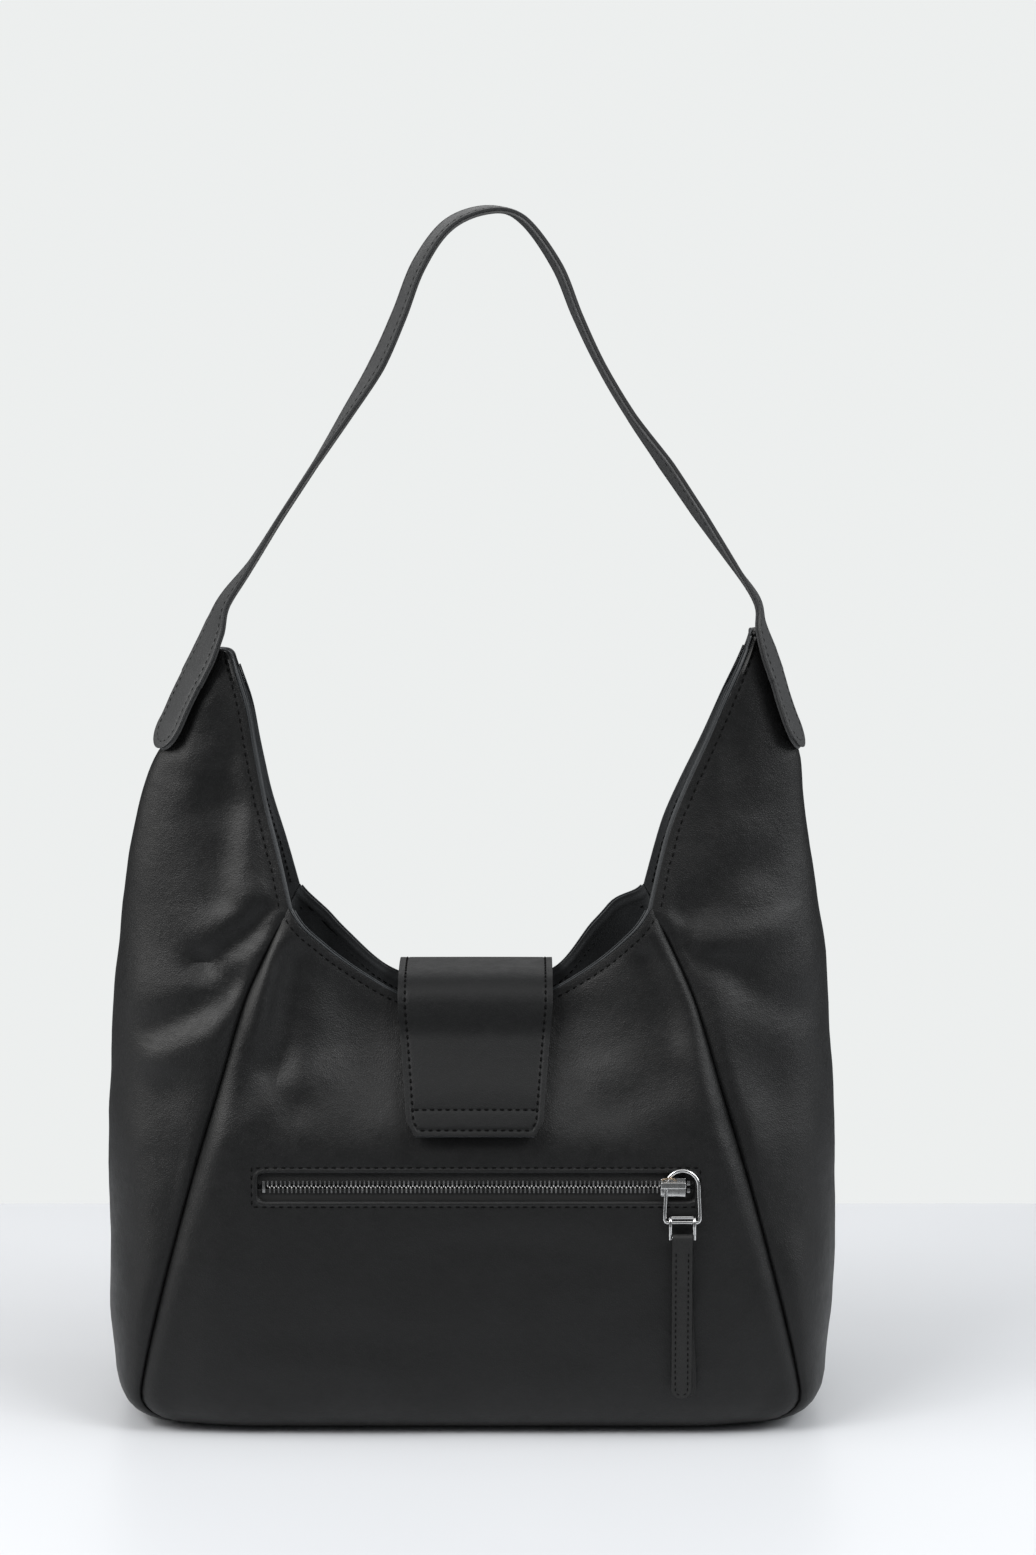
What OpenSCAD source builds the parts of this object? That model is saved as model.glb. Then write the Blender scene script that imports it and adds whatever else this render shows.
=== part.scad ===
// Hobo bag with two raised horns, a shoulder strap, a zipped front pocket and a snap flap.
// X runs to the wearer's right, Y to the back and Z up, from under the middle of the base.

/* [Bag] */
// Width of the bag at its widest
bag_w = 374; // [350:1:390]
// Height of the tips of the two horns
horn_h = 402; // [396:1:408]
// Depth of the bag at its base, front to back
bag_d = 130; // [122:1:136]
// Height of the neckline in the middle
neck_h = 217; // [212:1:222]
// Radius of the bottom edge
base_r = 22; // [18:1:24]
// How far the horns lean to the right at their tips
horn_lean = 11; // [0:1:14]
// How much the middle of the neckline is drawn in at each side
pinch = 24; // [16:1:28]
// Thickness of the shell leather
leather = 1.8; // [1.4:0.1:2]

/* [Strap] */
// Width of the strap
strap_w = 26; // [22:1:28]
// Height of the top of the strap
strap_top = 614; // [600:1:630]
// Thickness of each of the strap's two leathers
strap_skin = 1.1; // [0.9:0.1:1.3]

/* [Flap] */
// Width of the flap where it leaves the back
flap_w = 78; // [60:1:90]
// Width of the flap at its free end
flap_end_w = 68; // [50:1:78]
// Height of the free end of the flap
flap_end_h = 157; // [152:1:162]
// Diameter of the snap
snap_d = 18; // [14:1:20]

/* [Zip] */
// Height of the middle of the zip
zip_h = 131; // [128:1:133]
// Height of the opening that the zip shows through
window_h = 14; // [13:1:16]
// Pitch of the teeth of one row
tooth_pitch = 2.2; // [2:0.1:3]
// Length of the pull tab
tab_l = 85; // [40:1:88]
// Width of the pull tab
tab_w = 10; // [8:0.5:11]

/* [Hidden] */
$fn = 48;

kx = bag_w / 374;
ky = bag_d / 130;
kz = horn_h / 402;
seam_top = 267 * kz;      // where the panel seams reach the neckline
facing = 1;               // thickness of the facing leather
cloth = 0.8;              // thickness of the lining
bulge = 7 * ky;           // how far the panels stand out from their side seams
zip_left = 106 * kx;
zip_right = 112 * kx;
flap_x = 2.5;
gap = 0.4;

// Outlines at nominal size as [height, half width or half depth].
SIDE = [[0, 184], [60, 187], [130, 187], [190, 185], [240, 181], [290, 173.5], [316, 169],
    [337, 164.5], [357, 155], [378, 146.5], [402, 136]];
SEAM = [[0, 168], [20, 167], [50, 161], [90, 151], [130, 140], [180, 125], [220, 113], [245, 102],
    [267, 91]];
NECK = [[267, 91], [300, 99], [325, 107], [350, 115], [376, 122], [402, 131]];
DEPTH = [[0, 57], [60, 59], [130, 55], [180, 48], [220, 42], [245, 37], [267, 33], [300, 24],
    [320, 19], [345, 15], [376, 12], [402, 8]];

// A smooth curve through a table of [place, value].
function span_of(t, z, i = 0) = (i >= len(t) - 2 || z < t[i + 1][0]) ? i : span_of(t, z, i + 1);
function rise(t, i) = let(a = max(i - 1, 0), b = min(i + 1, len(t) - 1))
    (t[b][1] - t[a][1]) / (t[b][0] - t[a][0]);
function curve(t, z) = let(i = span_of(t, z), h = t[i + 1][0] - t[i][0], s = (z - t[i][0]) / h)
    t[i][1] * (2 * s * s * s - 3 * s * s + 1) + h * rise(t, i) * (s * s * s - 2 * s * s + s)
    + t[i + 1][1] * (3 * s * s - 2 * s * s * s) + h * rise(t, i + 1) * (s * s * s - s * s);
function ramp(z, a, b) = let(t = min(1, max(0, (z - a) / (b - a)))) t * t * (3 - 2 * t);

function side_x(z) = kx * curve(SIDE, z / kz);
function seam_x(z) = kx * (z < seam_top ? curve(SEAM, z / kz) : curve(NECK, z / kz));
function half_d(z) = ky * curve(DEPTH, z / kz);
function lean(z) = horn_lean * ramp(z, 300, 400);
// The left horn is a little wider than the right one.
function side_out(side, z) = side_x(z) - side * 2.8 * ramp(z, 340, 375);
function neckline(u) = neck_h + (seam_top - neck_h) * pow(max(0, abs(u) - 0.22) / 0.78, 1.35);

// Depth of the front panel's surface at x and z, set in from the outside by i. It is flat behind
// the flap.
FLAP_ROOM = 46;
function panel_y(x, z, i) =
    let(s = seam_x(z), flat = max(FLAP_ROOM, 115 * kx * (1 - ramp(z, 150, 230))),
        round_off = pow(min(1, max(0, (abs(x) - flat) / (s - flat))), 2))
    i - half_d(z) - bulge * (1 - round_off)
        + pinch * ramp(z, 145, 217) * (1 - ramp(abs(x), FLAP_ROOM, s));

// Rows climb the wall: the bottom edge, the level rows, those that follow the neckline, the horns.
LEVELS = [42, 62, 82, 104, zip_h - window_h / 2, zip_h + window_h / 2, 150];
RISES = [0.15, 0.3, 0.45, 0.6, 0.75, 0.9, 1];
EDGE_ROWS = 4;
LEVEL_TOP = EDGE_ROWS + len(LEVELS);
NECK_ROW = LEVEL_TOP + len(RISES);
FACING_ROW = NECK_ROW - 2;
HORN_ROWS = 8;
HORN_TOP = NECK_ROW + HORN_ROWS;
WINDOW_ROW = 9;

// Height and inset of row k of a layer that lies d inside the outer face.
function row(k, top, d) = k <= EDGE_ROWS
    ? let(a = 90 * k / EDGE_ROWS) [base_r - (base_r - d) * cos(a), base_r - (base_r - d) * sin(a)]
    : k <= LEVEL_TOP ? [LEVELS[k - EDGE_ROWS - 1], d]
    : k <= NECK_ROW ? [150 + (top - 150) * RISES[k - LEVEL_TOP - 1], d]
    : [seam_top + (horn_h - seam_top) * (k - NECK_ROW) / HORN_ROWS, d];

// Columns cross a panel from seam to seam, and stand at 0.8 on the ends of the zip's opening.
COLUMNS = concat([for (i = [-20:-16]) i / 20], [for (i = [-7:7]) i / 10], [for (i = [16:20]) i / 20]);
WINDOW_COLUMNS = [4, 20];
TURNS = [for (i = [0:16]) i * 11.25];

function column_x(u, z) =
    let(s = seam_x(z), t = max(0, (z - 150) / (seam_top - 150)), end = u < 0 ? zip_left : zip_right,
        m = end + (0.8 * seam_x(seam_top - 0.01) - end) * t, a = abs(u))
    sign(u) * (a <= 0.8 ? m * a / 0.8 : m + (s - m) * (a - 0.8) / 0.2);

function panel_point(k, u, d) =
    let(r = row(k, neckline(u), d), x = column_x(u, r[0]), s = seam_x(r[0]))
    [x * (s - r[1]) / s, panel_y(x, r[0], r[1]), r[0]];

function gusset_point(side, k, turn, d) =
    let(r = row(k, seam_top, d), s = seam_x(r[0]), a = side_out(side, r[0]))
    [side * (s - r[1] + (a - s) * sin(turn)) + lean(r[0]), -(half_d(r[0]) - r[1]) * cos(turn), r[0]];

function panel_grid(k0, k1, d) = [for (k = [k0:k1]) [for (u = COLUMNS) panel_point(k, u, d)]];
function gusset_grid(side, k0, k1, d) =
    [for (k = [k0:k1]) [for (t = TURNS) gusset_point(side, k, t, d)]];

function flat_list(rows) = [for (r = rows) for (p = r) p];
function split(a, b, c, d) = [[a, b, d], [b, c, d]];
function other_split(a, b, c, d) = [[a, b, c], [a, c, d]];

// A solid between two grids of points, without the cells in hole = [row, row, column, column].
module shell(outer, inner, hole = [0, 0, 0, 0], turned = false) {
    m = len(outer) - 1;
    n = len(outer[0]) - 1;
    back = (m + 1) * (n + 1);
    function there(r, c) = r >= 0 && r < m && c >= 0 && c < n
        && !(r >= hole[0] && r < hole[1] && c >= hole[2] && c < hole[3]);
    function at(r, c) = r * (n + 1) + c;
    quads = [for (r = [0:m - 1]) for (c = [0:n - 1]) if (there(r, c))
        let(p = at(r, c), q = at(r, c + 1), s = at(r + 1, c + 1), t = at(r + 1, c))
        concat(other_split(p, q, s, t),
            [[p + back, s + back, q + back], [p + back, t + back, s + back]],
            there(r - 1, c) ? [] : split(q, p, p + back, q + back),
            there(r, c + 1) ? [] : split(s, q, q + back, s + back),
            there(r + 1, c) ? [] : other_split(t, s, s + back, t + back),
            there(r, c - 1) ? [] : other_split(p, t, t + back, p + back))];
    faces = flat_list(quads);
    polyhedron(concat(flat_list(outer), flat_list(inner)),
        turned ? faces : [for (f = faces) [f[2], f[1], f[0]]]);
}

module panel(k0, k1, d0, d1, hole = [0, 0, 0, 0])
    shell(panel_grid(k0, k1, d0), panel_grid(k0, k1, d1), hole);

module gusset(side, k0, k1, d0, d1)
    shell(gusset_grid(side, k0, k1, d0), gusset_grid(side, k0, k1, d1), turned = side < 0);

module front_panel() color("#1f2022")
    panel(0, NECK_ROW, 0, leather, [WINDOW_ROW, WINDOW_ROW + 1, WINDOW_COLUMNS[0], WINDOW_COLUMNS[1]]);

module back_panel() color("#1f2022")
    mirror([0, 1, 0]) panel(0, NECK_ROW, 0, leather);

module left_gusset() color("#242527")
    gusset(-1, 0, HORN_TOP, 0, leather);

module right_gusset() color("#242527")
    gusset(1, 0, HORN_TOP, 0, leather);

// Outline of the base, set in by i from where the bottom edge begins to turn.
function base_half(i) = concat(
    [for (u = COLUMNS) let(p = panel_point(0, u, 0), q = 1 - i / seam_x(0)) [p[0] * q, p[1] + i]],
    [for (t = [1:15]) let(p = gusset_point(1, 0, TURNS[t], 0)) [p[0] - i, p[1] * (1 - i / 40)]]);
function base_outline(i) = let(h = base_half(i), n = len(COLUMNS)) concat(h,
    [for (c = [n - 1:-1:0]) [h[c][0], -h[c][1]]],
    [for (t = [15:-1:1]) let(p = h[n + t - 1]) [-p[0], p[1]]]);

module base_panel() color("#1f2022")
    linear_extrude(leather) polygon(base_outline(0));

module base_board() color("#8a7a62")
    translate([0, 0, leather]) linear_extrude(2.4) polygon(base_outline(5));

module front_facing() color("#2b2c2e")
    panel(FACING_ROW, NECK_ROW, leather, leather + facing);

module back_facing() color("#2b2c2e")
    mirror([0, 1, 0]) panel(FACING_ROW, NECK_ROW, leather, leather + facing);

module left_horn_facing() color("#2b2c2e")
    gusset(-1, FACING_ROW, HORN_TOP, leather, leather + facing);

module right_horn_facing() color("#2b2c2e")
    gusset(1, FACING_ROW, HORN_TOP, leather, leather + facing);

// The lining hangs inside as one bag. It is sewn to the facing and clears the pocket below.
LINING_ROWS = [0, 2, 4, 6, 8, 11, 13, 15, FACING_ROW];
function lining_inset(k, thick) = thick + (k == FACING_ROW ? leather + facing + 0.8
    : k == 15 ? 5.5 : 7);
function lining_ring(k, thick) =
    let(d = lining_inset(k, thick), n = len(COLUMNS) - 1,
        f = [for (c = [0:2:n]) panel_point(k, COLUMNS[c], d)],
        g = [for (t = [2:2:14]) gusset_point(1, k, TURNS[t], d)])
    concat(f, g, [for (i = [len(f) - 1:-1:0]) [f[i][0], -f[i][1], f[i][2]]],
        [for (i = [len(g) - 1:-1:0]) [-g[i][0], g[i][1], g[i][2]]]);

module lining() color("#3a3a3d") {
    outer = [for (k = LINING_ROWS) lining_ring(k, 0)];
    inner = [for (k = LINING_ROWS) lining_ring(k, cloth)];
    n = len(outer[0]);
    m = len(outer) - 1;
    back = n * (m + 1);
    walls = [for (r = [0:m - 1]) for (c = [0:n - 1])
        let(p = r * n + c, q = r * n + (c + 1) % n, s = q + n, t = p + n)
        concat(other_split(p, q, s, t),
            [[p + back, s + back, q + back], [p + back, t + back, s + back]])];
    rim = [for (c = [0:n - 1]) let(t = m * n + c, s = m * n + (c + 1) % n)
        other_split(t, s, s + back, t + back)];
    floors = [[for (c = [n - 1:-1:0]) c], [for (c = [0:n - 1]) back + c]];
    faces = concat(flat_list(walls), flat_list(rim), floors);
    polyhedron(concat(flat_list(outer), flat_list(inner)),
        [for (f = faces) [for (i = [len(f) - 1:-1:0]) f[i]]]);
}

// Strap. Its centre line is [x, z], from the left horn over the shoulder to the right horn.
STRAP_TURN = horn_h + 16;       // height of the line that the strap turns on, over the horns
strap_clear = 2 * strap_skin + 1.2 + 2 * gap;
TONGUE_TURN = [26, 15];         // how far the left and right tongues are turned to the front
TONGUE_OFF = [4, 3];            // and how far their middles stand forward of the horns' middles
function of(pair, side) = side < 0 ? pair[0] : pair[1];
// How far a horn's section reaches from its seams in the direction that its tongue faces.
function reach(side, z, turn) =
    norm([(side_out(side, z) - seam_x(z)) * cos(turn), half_d(z) * sin(turn)]);
function horn_x(side, z) =
    let(low = min(z, horn_h), turn = of(TONGUE_TURN, side),
        out = reach(side, low, turn) + strap_clear / 2 - of(TONGUE_OFF, side) * sin(turn))
    side * (seam_x(low) + out / cos(turn) - of([0.38, 0.15], side) * (z - low)) + lean(z);

// Knots of the line between its two ends, and how far the strap is turned at each knot.
OVER = [[-110, 436], [-94, 461], [-77.5, 486], [-61.5, 511], [-46, 536], [-35, 560], [-25, 585],
    [-10.5, 604.5], [9, 612], [26, 607.5], [43, 585], [53.5, 560], [65, 536], [80, 511], [98, 486],
    [115, 461], [132, 436]];
over = (strap_top - 614) / 176;
HINGE_Z = [STRAP_TURN - 13, STRAP_TURN];
CENTRE_LINE = concat([for (z = HINGE_Z) [horn_x(-1, z), z]],
    [for (p = OVER) [p[0], p[1] + over * (p[1] - 436)]],
    [for (i = [1, 0]) [horn_x(1, HINGE_Z[i]), HINGE_Z[i]]]);
TWIST = [22, 11, 3, 0, 1, 8, 14, 13, 12, 9, 3, -5, -7, -6, -5, -6, -12, -10, -3, 4, 10];

function knot(i) = CENTRE_LINE[min(max(i, 0), len(CENTRE_LINE) - 1)];
LAST = len(CENTRE_LINE) - 1;
// The line is straight at both ends and smooth between them.
function line_at(s) = let(i = max(0, min(floor(s), LAST - 1)), t = s - i,
    a = knot(i - 1), b = knot(i), c = knot(i + 1), d = knot(i + 2))
    i == 0 || i == LAST - 1 ? b + (c - b) * t
    : 0.5 * (2 * b + (c - a) * t + (2 * a - 5 * b + 4 * c - d) * t * t
        + (3 * b - a - 3 * c + d) * t * t * t);
function twist_at(s) = let(i = max(0, min(floor(s), LAST - 1)))
    TWIST[i] + (TWIST[i + 1] - TWIST[i]) * (s - i);
function unit(v) = v / norm(v);

// A point of a band at centre p with direction t, w across its width and n through it.
function band_point(p, t, turn, w, n) = let(u = unit(t))
    [p[0] - u[1] * (w * sin(turn) + n * cos(turn)), w * cos(turn) - n * sin(turn),
        p[1] + u[0] * (w * sin(turn) + n * cos(turn))];

STATIONS = concat([for (a = [0:22.5:67.5]) 1 - cos(a)], [for (s = [1:0.5:LAST - 1]) s],
    [for (a = [67.5:-22.5:0]) LAST - 1 + cos(a)]);
function end_width(s) = let(e = min(s, LAST - s, 1)) sqrt(max(0, 1 - (1 - e) * (1 - e)));
function strap_side(w, n) = [for (s = STATIONS)
    let(half = max(1, w / 2 * end_width(s)), t = line_at(s + 0.01) - line_at(s - 0.01))
    [for (q = [-1, 0, 1]) band_point(line_at(s), t, twist_at(s), q * half, n)]];

module strap_layer(w, n0, n1)
    shell(strap_side(w, n1), strap_side(w, n0));

module strap_outer() color("#303134")
    strap_layer(strap_w, 0.6, 0.6 + strap_skin);

module strap_filler() color("#55524c")
    strap_layer(strap_w - 5, -0.5, 0.5);

module strap_lining() color("#303134")
    strap_layer(strap_w, -0.6 - strap_skin, -0.6);

// The tongues carry the strap's line on down the outside of each horn, and are sewn there. Their
// level tops stay below everything that turns with the strap.
TONGUE_TOP = horn_h - 0.1;
TONGUE_END = horn_h - 58;
module tongue(side) {
    h = 2;
    turn = of(TONGUE_TURN, side);
    across = [for (a = [-90:22.5:90]) strap_w / 2 * sin(a)];
    function foot(w) = TONGUE_END + strap_w / 2 - sqrt(pow(strap_w / 2 + 0.01, 2) - w * w);
    function spot(w, f, n) = let(head = TONGUE_TOP - 0.41 * w * sin(turn),
        z = head + (foot(w) - head) * f,
        t = [horn_x(side, z) - horn_x(side, z - h), h])
        band_point([horn_x(side, z), z], side < 0 ? t : -t, turn, w, n)
            - [0, of(TONGUE_OFF, side), 0];
    function face(n) = [for (f = [0:0.125:1]) [for (w = across) spot(w, f, n)]];
    half = strap_clear / 2 - gap;
    shell(face(half), face(-half), turned = side < 0);
}

module left_strap_tongue() color("#303134")
    tongue(-1);

module right_strap_tongue() color("#303134")
    tongue(1);

// Patches inside the horns take the stitches of the tongues.
module horn_patch(side) {
    function face(d) = [for (k = [NECK_ROW + 4:HORN_TOP - 1])
        [for (t = [5:11]) gusset_point(side, k, TURNS[t], d)]];
    shell(face(leather + facing + 0.1), face(leather + facing + 1.1), turned = side < 0);
}

module left_horn_patch() color("#55524c")
    horn_patch(-1);

module right_horn_patch() color("#55524c")
    horn_patch(1);

// Flap. Its profile is [y, z] of the face towards the bag, from the hinge line to the free end.
HINGE = [28, neck_h + 2];
flap_stand = 5.6;
FLAP_ARCH = [[26.2, neck_h + 7], [19.5, neck_h + 10], [7, neck_h + 11.8], [-8, neck_h + 11.8],
    [-20, neck_h + 10.4], [-27.8, neck_h + 7], [-32, neck_h + 0.5]];
function flap_face() = concat([[HINGE[0] - 0.4, HINGE[1] + 1.6]], FLAP_ARCH,
    [for (q = [0:4]) let(z = neck_h - 13 + (flap_end_h - neck_h + 13) * q / 4)
        [panel_y(flap_x, z, -flap_stand), z]]);
function out_of(p, i) = let(a = p[max(i - 1, 0)], b = p[min(i + 1, len(p) - 1)], t = unit(b - a))
    [t[1], -t[0]];
function offset_line(n) = let(p = flap_face()) [for (i = [0:len(p) - 1]) p[i] + n * out_of(p, i)];

// Cuts the flap's sides to its taper and its lower corners to short slopes.
module flap_plan(trim) {
    top = flap_w / 2 - trim;
    end = flap_end_w / 2 - trim;
    translate([flap_x, 150, 0]) rotate([90, 0, 0]) linear_extrude(300)
        polygon([[-end + 6, flap_end_h - 4], [end - 6, flap_end_h - 4], [end, flap_end_h + 5],
            [top, neck_h], [top, neck_h + 40], [-top, neck_h + 40], [-top, neck_h],
            [-end, flap_end_h + 5]]);
}

module flap_layer(n0, n1, trim = 0) {
    near = offset_line(n0);
    far = offset_line(n1);
    intersection() {
        translate([-100, 0, 0]) rotate([90, 0, 90]) linear_extrude(200)
            polygon(concat(near, [for (i = [len(far) - 1:-1:0]) far[i]]));
        flap_plan(trim);
    }
}

module flap_lining() color("#2b2c2e")
    flap_layer(0, 1);

module flap_stiffener() color("#55524c")
    difference() {
        flap_layer(1, 1.8, 4);
        at_snap() cylinder(d = snap_d, h = 2 * flap_stand);
    }

module flap_outer() color("#1f2022")
    flap_layer(1.8, 3.2);

// The flap's root is sewn flat to the outside of the back panel, below the hinge line.
module flap_root() color("#1f2022") {
    low = 178;
    rows = [for (q = [0:4]) low + (HINGE[1] - 7 - low) * q / 4];
    translate([flap_x - flap_w / 2, 0, 0]) rotate([90, 0, 90]) linear_extrude(flap_w)
        polygon(concat([for (z = rows) [0.5 - panel_y(0, z, 0), z]],
            [for (i = [4:-1:0]) [3.5 - panel_y(0, rows[i], 0), rows[i]]]));
}

// Magnetic snap. Its axis is square to the front panel where the flap lies on it.
snap_z = 175;
snap_y = panel_y(flap_x, snap_z, 0);
snap_tilt = atan2(panel_y(flap_x, snap_z + 4, 0) - panel_y(flap_x, snap_z - 4, 0), 8);
module at_snap()
    translate([flap_x, snap_y, snap_z]) rotate([90 - snap_tilt, 0, 0]) children();

module snap_socket() color("#6d6e70")
    at_snap() difference() {
        translate([0, 0, 0.5]) cylinder(d = snap_d, h = 2.2);
        cylinder(d = 6, h = 10);
    }

module socket_washer() color("#8c8d8f")
    at_snap() translate([0, 0, -leather - 1.8]) cylinder(d = snap_d, h = 1);

module snap_stud() color("#6d6e70")
    at_snap() {
        translate([0, 0, 3.2]) cylinder(d = snap_d, h = 1);
        translate([0, 0, 1.2]) cylinder(d = 4.6, h = 2.2);
    }

module stud_washer() color("#8c8d8f")
    at_snap() translate([0, 0, flap_stand * cos(snap_tilt) + 1.15]) cylinder(d = snap_d - 2, h = 0.5);

// Zip. Its frame lies in the front panel: x along the chain, y into the bag, z up the panel.
zip_y = panel_y(0, zip_h, 0);
zip_tilt = atan2(panel_y(0, zip_h + 12, 0) - panel_y(0, zip_h - 12, 0), 24);
module at_zip()
    translate([0, zip_y, zip_h]) rotate([-zip_tilt, 0, 0]) children();

tooth = [1, 2.4, 4];
slider_l = 12.5;
slider_x = 95.2 * kx;
chain = [-zip_left + 4.4, slider_x + 7.5];
chain_y = 2.7;
pull_x = slider_x + 10.8;
teeth = floor((chain[1] - chain[0]) / tooth_pitch);

module tape(side) at_zip()
    translate([-zip_left - 6, chain_y - 0.3, side > 0 ? 3.3 : -16])
        cube([zip_left + zip_right + 12, 0.6, 12.7]);

module tooth_row(side) at_zip()
    for (i = [0:teeth - 1])
        translate([chain[0] + (i + (side > 0 ? 0 : 0.5)) * tooth_pitch, chain_y - tooth[1] / 2,
            side > 0 ? -0.8 : 0.8 - tooth[2]]) cube(tooth);

module zip_tape_upper() color("#17181a")
    tape(1);

module zip_tape_lower() color("#17181a")
    tape(-1);

module zip_teeth_upper() color("#7d8085")
    tooth_row(1);

module zip_teeth_lower() color("#7d8085")
    tooth_row(-1);

module zip_stops() color("#7d8085")
    at_zip() {
        translate([-zip_left + 2.2, chain_y - 1.3, -3]) cube([1.6, 2.6, 6]);
        for (z = [-3.1, 0.7])
            translate([slider_x + slider_l + 0.6, chain_y - 1.3, z]) cube([1.8, 2.6, 2.4]);
    }

// The pocket is one sheet folded at its bottom: the front hangs from the lower tape.
module pocket_bag() color("#3a3a3d") {
    front = [114, 100, 80, 60, 44];
    translate([-zip_left - 3, 0, 0]) rotate([90, 0, 90]) linear_extrude(zip_left + zip_right + 6)
        polygon(concat([for (z = front) [panel_y(0, z, 2.5), z]],
            [for (i = [4:-1:0]) [panel_y(0, front[i], 5.9), i == 4 ? 42 : front[i]]],
            [[panel_y(0, 146, 5.9), 146], [panel_y(0, 150, 3.4), 150], [panel_y(0, 149, 2.6), 149],
                [panel_y(0, 145, 5.4), 145]],
            [for (z = front) [panel_y(0, z, 5.4), z]],
            [for (i = [4:-1:0]) [panel_y(0, front[i], 3), front[i]]]));
}

module zip_slider() color("#8f9297")
    at_zip() translate([slider_x, 0, 0]) {
        front = chain_y - tooth[1] / 2 - gap;
        rear = chain_y + tooth[1] / 2 + gap;
        for (y = [front - 1.1, rear])
            translate([0, y, -4.8]) cube([slider_l, 1.1, 9.6]);
        for (z = [-4.8, 4.1]) {
            translate([0, front - 0.5, z]) cube([slider_l, 1.3, 0.7]);
            translate([0, rear - 0.8, z]) cube([slider_l, 1.3, 0.7]);
        }
        translate([8.8, front - 0.5, -1.2]) cube([2.2, rear - front + 1, 2.4]);
        translate([0, front - 5.1, -0.2]) cube([slider_l, 1, 3.4]);
        for (x = [0, slider_l - 1.1])
            translate([x, front - 4.6, -0.2]) cube([1.1, 4, 3.4]);
    }

// The pull hangs from the slider's loop: a ring, a frame, a pin and a leather tab.
wire = 2;
ring_y = chain_y - tooth[1] / 2 - gap - 1.1 - 1.5;
ring_top = 0.5;           // height of the centre of the ring's arc above the chain
ring_r = 8.2;
ring_low = -17.4;
module rod(a, b, d = wire) {
    v = b - a;
    translate(a) rotate([0, atan2(norm([v[0], v[1]]), v[2]), atan2(v[1], v[0])])
        cylinder(d = d, h = norm(v), $fn = 24);
}
module bead(p, d = wire)
    translate(p) sphere(d = d, $fn = 24);

module pull_ring() color("#a3a6ab")
    at_zip() translate([pull_x, ring_y, 0]) {
        translate([0, 0, ring_top]) rotate([90, 0, 0]) rotate_extrude(angle = 180)
            translate([ring_r, 0]) circle(d = wire, $fn = 24);
        for (s = [-1, 1]) {
            rod([s * ring_r, 0, ring_low], [s * ring_r, 0, ring_top]);
            bead([s * ring_r, 0, ring_low]);
        }
        rod([-ring_r, 0, ring_low], [ring_r, 0, ring_low]);
    }

// The frame's own axes: x along its top bar, the hinge line, with z up at rest.
frame_tilt = 1;
frame_wire = 1.8;
frame_w = 6;
module at_frame()
    at_zip() translate([pull_x, ring_y, ring_low + 2.4]) rotate([zip_tilt - frame_tilt, 0, 0])
        children();
pin_at = [0, -2.8, -9.6];

module pull_frame() color("#a3a6ab")
    at_frame() {
        rod([-frame_w, 0, 0], [frame_w, 0, 0], frame_wire);
        for (s = [-1, 1]) {
            bead([s * frame_w, 0, 0], frame_wire);
            rod([s * frame_w, 0, 0], [s * frame_w, pin_at[1], -1], frame_wire);
            bead([s * frame_w, pin_at[1], -1], frame_wire);
            rod([s * frame_w, pin_at[1], -1], [s * frame_w, pin_at[1], pin_at[2]], frame_wire);
            bead([s * frame_w, pin_at[1], pin_at[2]], frame_wire);
        }
    }

module pull_pin() color("#a3a6ab")
    at_frame() translate([-frame_w + 0.95, pin_at[1], pin_at[2]]) rotate([0, 90, 0])
        cylinder(d = 1.4, h = 2 * frame_w - 1.9);

// Each half of the tab wraps half of the pin and runs down as one flat strip.
module tab_half(side) at_frame() translate(pin_at) {
    difference() {
        rotate([0, 90, 0]) cylinder(r = 2.3, h = tab_w, center = true);
        rotate([0, 90, 0]) cylinder(r = 1.05, h = tab_w + 2, center = true);
        translate([-tab_w, side > 0 ? -6 : 0, -5]) cube([2 * tab_w, 6, 10]);
    }
    translate([0, side > 0 ? 1.2 : 0, 0]) rotate([90, 0, 0]) linear_extrude(1.2) {
        translate([-tab_w / 2, -tab_l + tab_w / 2 + 2]) square([tab_w, tab_l - tab_w / 2 - 3.6]);
        translate([0, -tab_l + tab_w / 2 + 2]) circle(d = tab_w);
    }
}

module tab_front() color("#1b1c1e")
    tab_half(-1);

module tab_back() color("#1b1c1e")
    tab_half(1);

front_panel();
back_panel();
left_gusset();
right_gusset();
base_panel();
base_board();
front_facing();
back_facing();
left_horn_facing();
right_horn_facing();
lining();
left_horn_patch();
right_horn_patch();
left_strap_tongue();
right_strap_tongue();
strap_outer();
strap_filler();
strap_lining();
flap_root();
flap_outer();
flap_stiffener();
flap_lining();
snap_stud();
stud_washer();
snap_socket();
socket_washer();
zip_tape_upper();
zip_tape_lower();
zip_teeth_upper();
zip_teeth_lower();
zip_stops();
pocket_bag();
zip_slider();
pull_ring();
pull_frame();
pull_pin();
tab_front();
tab_back();
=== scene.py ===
import math
import random
import bmesh
import bpy
from mathutils import Matrix, Vector
from mathutils import noise as fractal


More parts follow.
